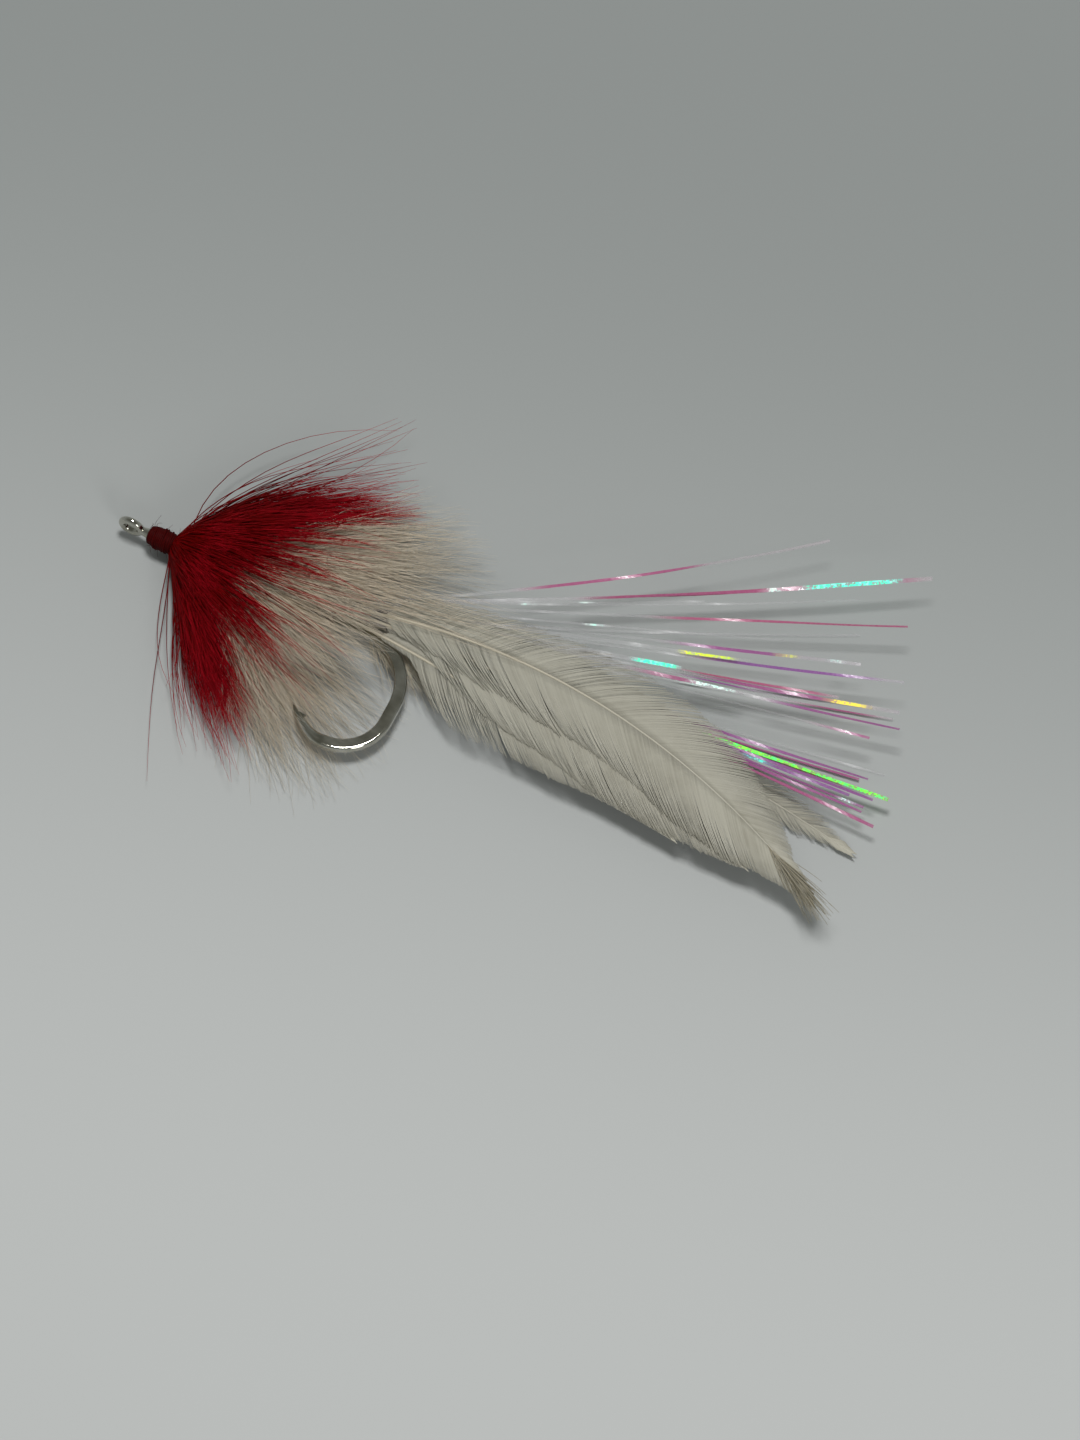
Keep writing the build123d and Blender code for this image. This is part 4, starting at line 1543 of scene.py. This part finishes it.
@dataclass
class FlashFan:
    """A bundle of strands that leaves the tail wraps on one side."""

    node: str
    body: str
    strands: tuple[Strand, ...]
    seed: int
    steps: int = 72
    film: float = 0.03
    root_y: float = 2.0

    # Where the strands leave the wraps, and how their heights scatter.
    UNDER_WRAPS = 3.0
    ROOT_Y = (0.2, 1.2)
    ROOT_Z = 1.0
    SCATTER = (-0.12, 0.45)
    # The cubic's inner controls, as shares of the reach and of the climb.
    EARLY = (0.33, 0.9)
    LATE = (0.66, 1.05)
    # Size and count of the sags, the turns and the crinkles along a strand.
    SAG, SAGS = 0.10, 3.0
    TURNS = 1.3
    CRINKLE, CRINKLES = 0.06, 17.0
    # How softly the painted glints and the stretch of tint with painted reflection begin and end,
    # as shares of the length.
    GLINT_SOFT = 0.02
    SHOWS_IN = (0.06, 0.05)
    SHOWS_OUT = (0.02, 0.05)
    FADES_BY = 0.8

    def of_strands(self, name: str) -> np.ndarray:
        """A value of every strand."""
        return np.array([getattr(strand, name) for strand in self.strands])

    def build(self, frame: Frame, finishes: Finishes) -> bpy.types.Object:
        """Builds every strand of the fan as flat tape.

        Formula: a strand is a cubic whose early heading lags its tip's heading by its bow; the
        tape turns slowly about it and crinkles by a small sine; the attributes are smooth
        windows along its length.

        Args:
            frame: The frame.
            finishes: The fly's materials.

        Returns:
            The fan.
        """
        rng = np.random.default_rng(self.seed)
        low, high = frame.span(self.node)
        level = (low[2] + high[2]) / 2
        count = len(self.strands)
        reach = self.of_strands("reach")
        last = np.radians(self.of_strands("heading"))
        first = last - np.radians(self.of_strands("bow"))
        root = np.stack([np.full(count, low[0] - self.UNDER_WRAPS),
                         np.linspace(*self.ROOT_Y, count),
                         np.full(count, np.sign(level) * min(abs(level), self.ROOT_Z))], axis=-1)
        origin = np.array([low[0], self.root_y, 0.0])
        heights = level + rng.uniform(*self.SCATTER, count)

        def along(angle: np.ndarray, share: float, rise: float) -> np.ndarray:
            """Point at a share of the reach on a heading, at a share of the climb.

            Args:
                angle: Heading of each strand, in radians.
                share: Share of the reach.
                rise: Share of the climb.

            Returns:
                One point for each strand.
            """
            flat = origin + np.stack([np.cos(angle) * reach * share,
                                      np.sin(angle) * reach * share, np.zeros(count)], axis=-1)
            flat[:, 2] = root[:, 2] + (heights - root[:, 2]) * rise
            return flat

        controls = np.stack([root, along(first, *self.EARLY),
                             along((first + last) / 2, *self.LATE), along(last, 1.0, 1.0)], axis=1)
        lines = cubic_paths(controls, self.steps)
        t = np.linspace(0.0, 1.0, self.steps)
        sagging = TAU * self.SAGS * t + rng.uniform(0, TAU, count)[:, None]
        lines[..., 2] += self.SAG * np.sin(sagging) * t
        turning = TAU * self.TURNS * t + rng.uniform(0, TAU, count)[:, None]
        spin = self.of_strands("spin")[:, None] * np.sin(turning)
        crinkle = 1.0 + self.CRINKLE * np.sin(TAU * self.CRINKLES * t)
        wide = self.of_strands("width")[:, None] / 2 * crinkle
        rings = carried(lines, wide, np.full_like(wide, self.film), Section.TAPE, UP,
                        spin)
        values = along_values(lines, self.of_strands("tone"))
        values.update(self.windows(t))
        fan = closed_tubes(self.node + "_strands", rings, values, smooth=False)
        bend_at_tail(frame, fan, self.body)
        return finish_piece(fan, finishes.film, "flash", self.node)

    def windows(self, t: np.ndarray) -> dict[str, np.ndarray]:
        """Attributes that say where each strand carries a painted glint, in what hue, and where it
        shows its tint with painted reflection.

        Args:
            t: Places along a strand, 0 to 1.

        Returns:
            The three attributes, each of shape (strands, steps).
        """
        glint = np.zeros((len(self.strands), len(t)))
        hue = np.zeros_like(glint)
        shows = np.zeros_like(glint)
        for row, strand in enumerate(self.strands):
            for spot in strand.glints:
                soft = min(self.GLINT_SOFT, (spot.end - spot.begin) / 2)
                window = (smooth_step(t, spot.begin - soft, spot.begin + soft)
                          * (1.0 - smooth_step(t, spot.end - soft, spot.end + soft)))
                glint[row] = np.maximum(glint[row], window * spot.strength)
                hue[row] = np.where(window > 0.0, spot.hue.value, hue[row])
            begin, end = strand.shows
            shown = smooth_step(t, begin - self.SHOWS_IN[0], begin + self.SHOWS_IN[1])
            faded = smooth_step(t, end - self.SHOWS_OUT[0], end + self.SHOWS_OUT[1])
            shows[row] = shown * (1.0 - self.FADES_BY * faded)
        return {"glint": glint, "hue": hue, "shows": shows}


# The stretch of tint with painted reflection lies past a strand's end, so its film stays clear.
HIDDEN = (1.2, 1.3)
NEAR_OUTER_STRANDS = (
    Strand(66.5, 33.3, 7.0, (0.40, 0.72), width=0.40, tone=0.15),
    Strand(79.9, 28.1, 3.6, (0.44, 0.95), (Glint(0.72, 0.75, Hue.WHITE, 0.8),
           Glint(0.785, 0.945, Hue.CYAN)), width=0.56, tone=0.1),
    Strand(57.5, 27.2, 3.0, (0.60, 1.0), width=0.42, tone=0.0),
    Strand(76.6, 22.8, 1.4, (0.58, 1.0), width=0.36, tone=-0.2),
    Strand(70.0, 25.6, 3.0, HIDDEN, (Glint(0.36, 0.38, Hue.WHITE, 0.6),), width=0.3),
    Strand(49.0, 25.4, 2.0, HIDDEN, (Glint(0.66, 0.70, Hue.WHITE, 0.7),), width=0.3),
)
NEAR_STRANDS = (
    Strand(70.7, 18.0, 1.0, (0.66, 0.84), (Glint(0.845, 0.875, Hue.LIME, 0.8),
           Glint(0.94, 0.97, Hue.WHITE, 0.6)), width=0.42, tone=0.6),
    Strand(56.0, 16.2, 1.2, HIDDEN, (Glint(0.83, 0.96, Hue.LIME),), width=0.56),
    Strand(76.9, 16.7, 2.6, (0.64, 0.93), width=0.38, tone=0.95),
    Strand(47.0, 13.1, 0.6, HIDDEN, (Glint(0.86, 0.99, Hue.CYAN),), width=0.56),
    Strand(77.1, 13.3, 1.8, (0.66, 0.88), (Glint(0.875, 0.945, Hue.GOLD),), width=0.46, tone=0.4),
    Strand(56.0, 11.4, 0.8, (0.75, 0.9), (Glint(0.87, 0.98, Hue.WHITE, 0.9),), width=0.5),
    Strand(77.7, 11.5, 1.0, (0.78, 1.0), width=0.42, tone=0.6),
    Strand(74.1, 9.8, 0.6, (0.92, 1.0), width=0.36, tone=0.3),
    Strand(68.6, 13.6, 2.0, (0.70, 0.96), width=0.36, tone=0.0),
    Strand(60.0, 19.9, 1.8, HIDDEN, (Glint(0.56, 0.60, Hue.WHITE, 0.8),), width=0.28),
    Strand(62.0, 12.2, 1.0, (0.78, 0.9), width=0.30, tone=0.8),
)
INNER_STRANDS = (
    Strand(79.1, 4.6, 0.2, (0.6, 1.0), (Glint(0.665, 1.0, Hue.GREEN),), width=0.66),
    Strand(75.5, 5.9, 0.8, (0.60, 1.0), width=0.40, tone=0.7),
    Strand(78.8, 1.3, -3.0, (0.60, 1.0), width=0.46, tone=0.2),
    Strand(76.4, 2.9, -1.2, (0.64, 1.0), (Glint(0.955, 0.98, Hue.WHITE),), width=0.42, tone=0.6),
    Strand(74.0, 3.5, -1.0, (0.62, 1.0), (Glint(0.80, 0.84, Hue.CYAN),), width=0.40, tone=0.9),
    Strand(76.5, 2.2, -2.2, (0.66, 1.0), width=0.38, tone=0.5),
    Strand(72.5, 4.4, 0.2, (0.70, 1.0), width=0.38, tone=0.2),
    Strand(77.2, 3.9, -0.6, (0.66, 1.0), width=0.36, tone=0.8),
)
FAR_STRANDS = (
    Strand(70.0, 23.6, 3.0, HIDDEN, width=0.36),
    Strand(73.0, 15.2, 2.0, (0.80, 0.90), width=0.34, tone=0.7),
    Strand(76.0, 14.2, 1.5, (0.84, 0.95), (Glint(0.62, 0.66, Hue.WHITE, 0.6),), width=0.34),
    Strand(74.0, 6.6, 1.0, (0.70, 1.0), width=0.38, tone=0.3),
    Strand(77.0, 8.0, 1.0, HIDDEN, width=0.34),
)
FANS = (
    FlashFan("far_flash", "far_tail", FAR_STRANDS, 61),
    FlashFan("inner_flash", "far_tail", INNER_STRANDS, 62),
    FlashFan("near_flash", "near_tail", NEAR_STRANDS, 63),
    FlashFan("near_outer_flash", "near_tail", NEAR_OUTER_STRANDS, 64),
)


# ------------------------------------------------------------------------------ studio
@dataclass(frozen=True)
class Lamp:
    """A soft square light: how far it stands past the fly, to the left and above, in metres."""

    name: str
    past: float
    left: float
    above: float
    size: float
    power: float


@dataclass
class Studio:
    """Pale floor with a painted falloff of light, soft light from the far side and a camera above
    the near side.
    """

    azimuth: float = 26.2
    elevation: float = 65.0
    distance: float = 2500.0
    frame_height: float = 194.67
    sensor: float = 36.0
    look_at: tuple[float, float, float] = (62.6, -1.6, 0.0)
    zenith: Colour = (0.135, 0.14, 0.128)
    horizon: Colour = (0.30, 0.32, 0.32)
    ceiling: tuple[float, float] = (0.25, 0.90)
    # The floor's grey with a painted falloff of light: brighter on the camera's side, darker on
    # the far side.
    near_painted_lit_grey: Colour = (0.52, 0.532, 0.525)
    far_painted_shaded_grey: Colour = (0.275, 0.291, 0.285)
    floor_half: float = 900.0
    floor_turn: float = 0.25
    painted_falloff_span: tuple[float, float] = (-0.125, 0.105)
    floor_roughness: float = 0.6
    floor_specular: float = 0.2
    lamps: tuple[Lamp, ...] = (Lamp("key", 0.17, -0.03, 1.2, 0.27, 9.4),
                               Lamp("window", -0.9, -0.35, 0.55, 0.34, 2.6))

    def directions(self) -> tuple[Vector, Vector]:
        """Level direction away from the camera, and the camera's line of sight."""
        a, e = math.radians(self.azimuth), math.radians(self.elevation)
        away = Vector((-math.sin(a), math.cos(a), 0.0))
        return away, away * math.cos(e) - Vector((0.0, 0.0, math.sin(e)))

    def build(self, floor_z: float) -> None:
        """Builds camera, lights, world and floor.

        Args:
            floor_z: Height of the floor, in millimetres.
        """
        away, sight = self.directions()
        target = Vector(self.look_at) * MM
        camera = bpy.data.objects.new("camera", bpy.data.cameras.new("camera"))
        camera.location = target - sight * self.distance * MM
        camera.rotation_mode = "QUATERNION"
        camera.rotation_quaternion = sight.to_track_quat("-Z", "Y")
        camera.data.sensor_width = self.sensor
        camera.data.lens = camera.data.sensor_width / 2 / (self.frame_height / 2 / self.distance)
        bpy.context.scene.collection.objects.link(camera)
        bpy.context.scene.camera = camera
        for lamp in self.lamps:
            self.light(lamp, target, away)
        self.world()
        bpy.context.scene.view_settings.view_transform = "Standard"
        self.floor(floor_z, away)

    def world(self) -> None:
        """Adds the room: a dim ceiling over paler walls, mixed by the height of the direction."""
        world = bpy.data.worlds.new("room")
        world.use_nodes = True
        shading = Shading(world.node_tree)
        height = shading.rise(shading.split(shading.place("Generated"))["Z"], *self.ceiling,
                              "SMOOTHSTEP")
        shading.fill(shading.nodes["Background"],
                     {"Color": shading.mix(height, self.horizon, self.zenith)})
        bpy.context.scene.world = world

    def light(self, lamp: Lamp, target: Vector, away: Vector) -> None:
        """Adds a lamp that faces the fly.

        Args:
            lamp: The lamp.
            target: What it faces.
            away: Level direction away from the camera.
        """
        left = Vector((-away.y, away.x, 0.0))
        light = bpy.data.objects.new(lamp.name, bpy.data.lights.new(lamp.name, "AREA"))
        light.data.size = lamp.size
        light.data.energy = lamp.power
        light.location = (target + away * lamp.past + left * lamp.left
                          + Vector((0.0, 0.0, lamp.above)))
        light.rotation_mode = "QUATERNION"
        light.rotation_quaternion = (target - light.location).to_track_quat("-Z", "Y")
        bpy.context.scene.collection.objects.link(light)

    def floor(self, level: float, away: Vector) -> None:
        """Adds the table top.

        Formula: a square in the plane at the given height, whose grey falls slowly from the
        camera's side to the far side: a painted falloff of light, brighter near and darker far.

        Args:
            level: Height, in millimetres.
            away: Level direction away from the camera.
        """
        half = self.floor_half
        corners = np.array([[-half, -half, level], [half, -half, level],
                            [half, half, level], [-half, half, level]]) * MM
        mesh = bpy.data.meshes.new("table_top")
        mesh.from_pydata(corners.tolist(), [], [(0, 1, 2, 3)])
        top = bpy.data.objects.new("table_top", mesh)
        bpy.context.scene.collection.objects.link(top)
        material, shader, shading = blank_material("table_top")
        turn = (0.0, 0.0, math.atan2(away.x, away.y) + self.floor_turn)
        turned = shading.node("Mapping", {"Vector": shading.place(), "Rotation": turn})
        # Painted falloff of light across the table, not a change in its colour.
        depth = shading.rise(shading.split(turned.outputs["Vector"])["Y"], *self.painted_falloff_span,
                             "SMOOTHERSTEP")
        grey = shading.mix(depth, self.near_painted_lit_grey, self.far_painted_shaded_grey)
        shading.fill(shader, {"Base Color": grey, "Roughness": self.floor_roughness,
                              "Specular IOR Level": self.floor_specular})
        mesh.materials.append(material)
        top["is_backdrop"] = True


def main() -> None:
    """Builds the whole fly around the frame and reports each piece."""
    logging.basicConfig(level=logging.INFO, format="%(message)s")
    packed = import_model()
    frame = Frame(packed)
    finishes = Finishes()
    Hook(frame, finishes).build()
    for winding in (
        Winding(frame, finishes, "thread_base", "shank_thread_layer", ridge=0.05, shoulder=0.05,
                pitch=0.32, around=24, rings_per_wrap=5),
        Winding(frame, finishes, "tail_wraps", "tail_wrap_turns"),
        Winding(frame, finishes, "white_collar_wraps", "cream_collar_wrap_turns"),
        Winding(frame, finishes, "red_collar_wraps", "red_collar_wrap_turns"),
        Winding(frame, finishes, "thread_head", "head_wrap_turns", swell=HEAD_SWELL,
                shoulder=0.4),
    ):
        winding.build()
    WhipFinish(frame, finishes).build()
    for hackle in HACKLES:
        hackle.build(frame, finishes)
    for fan in FANS:
        fan.build(frame, finishes)
    for tuft in CREAM_TUFTS + RED_TUFTS:
        tuft.build(frame, finishes)
    Studio().build(frame.level)


if __name__ == "__main__":
    main()
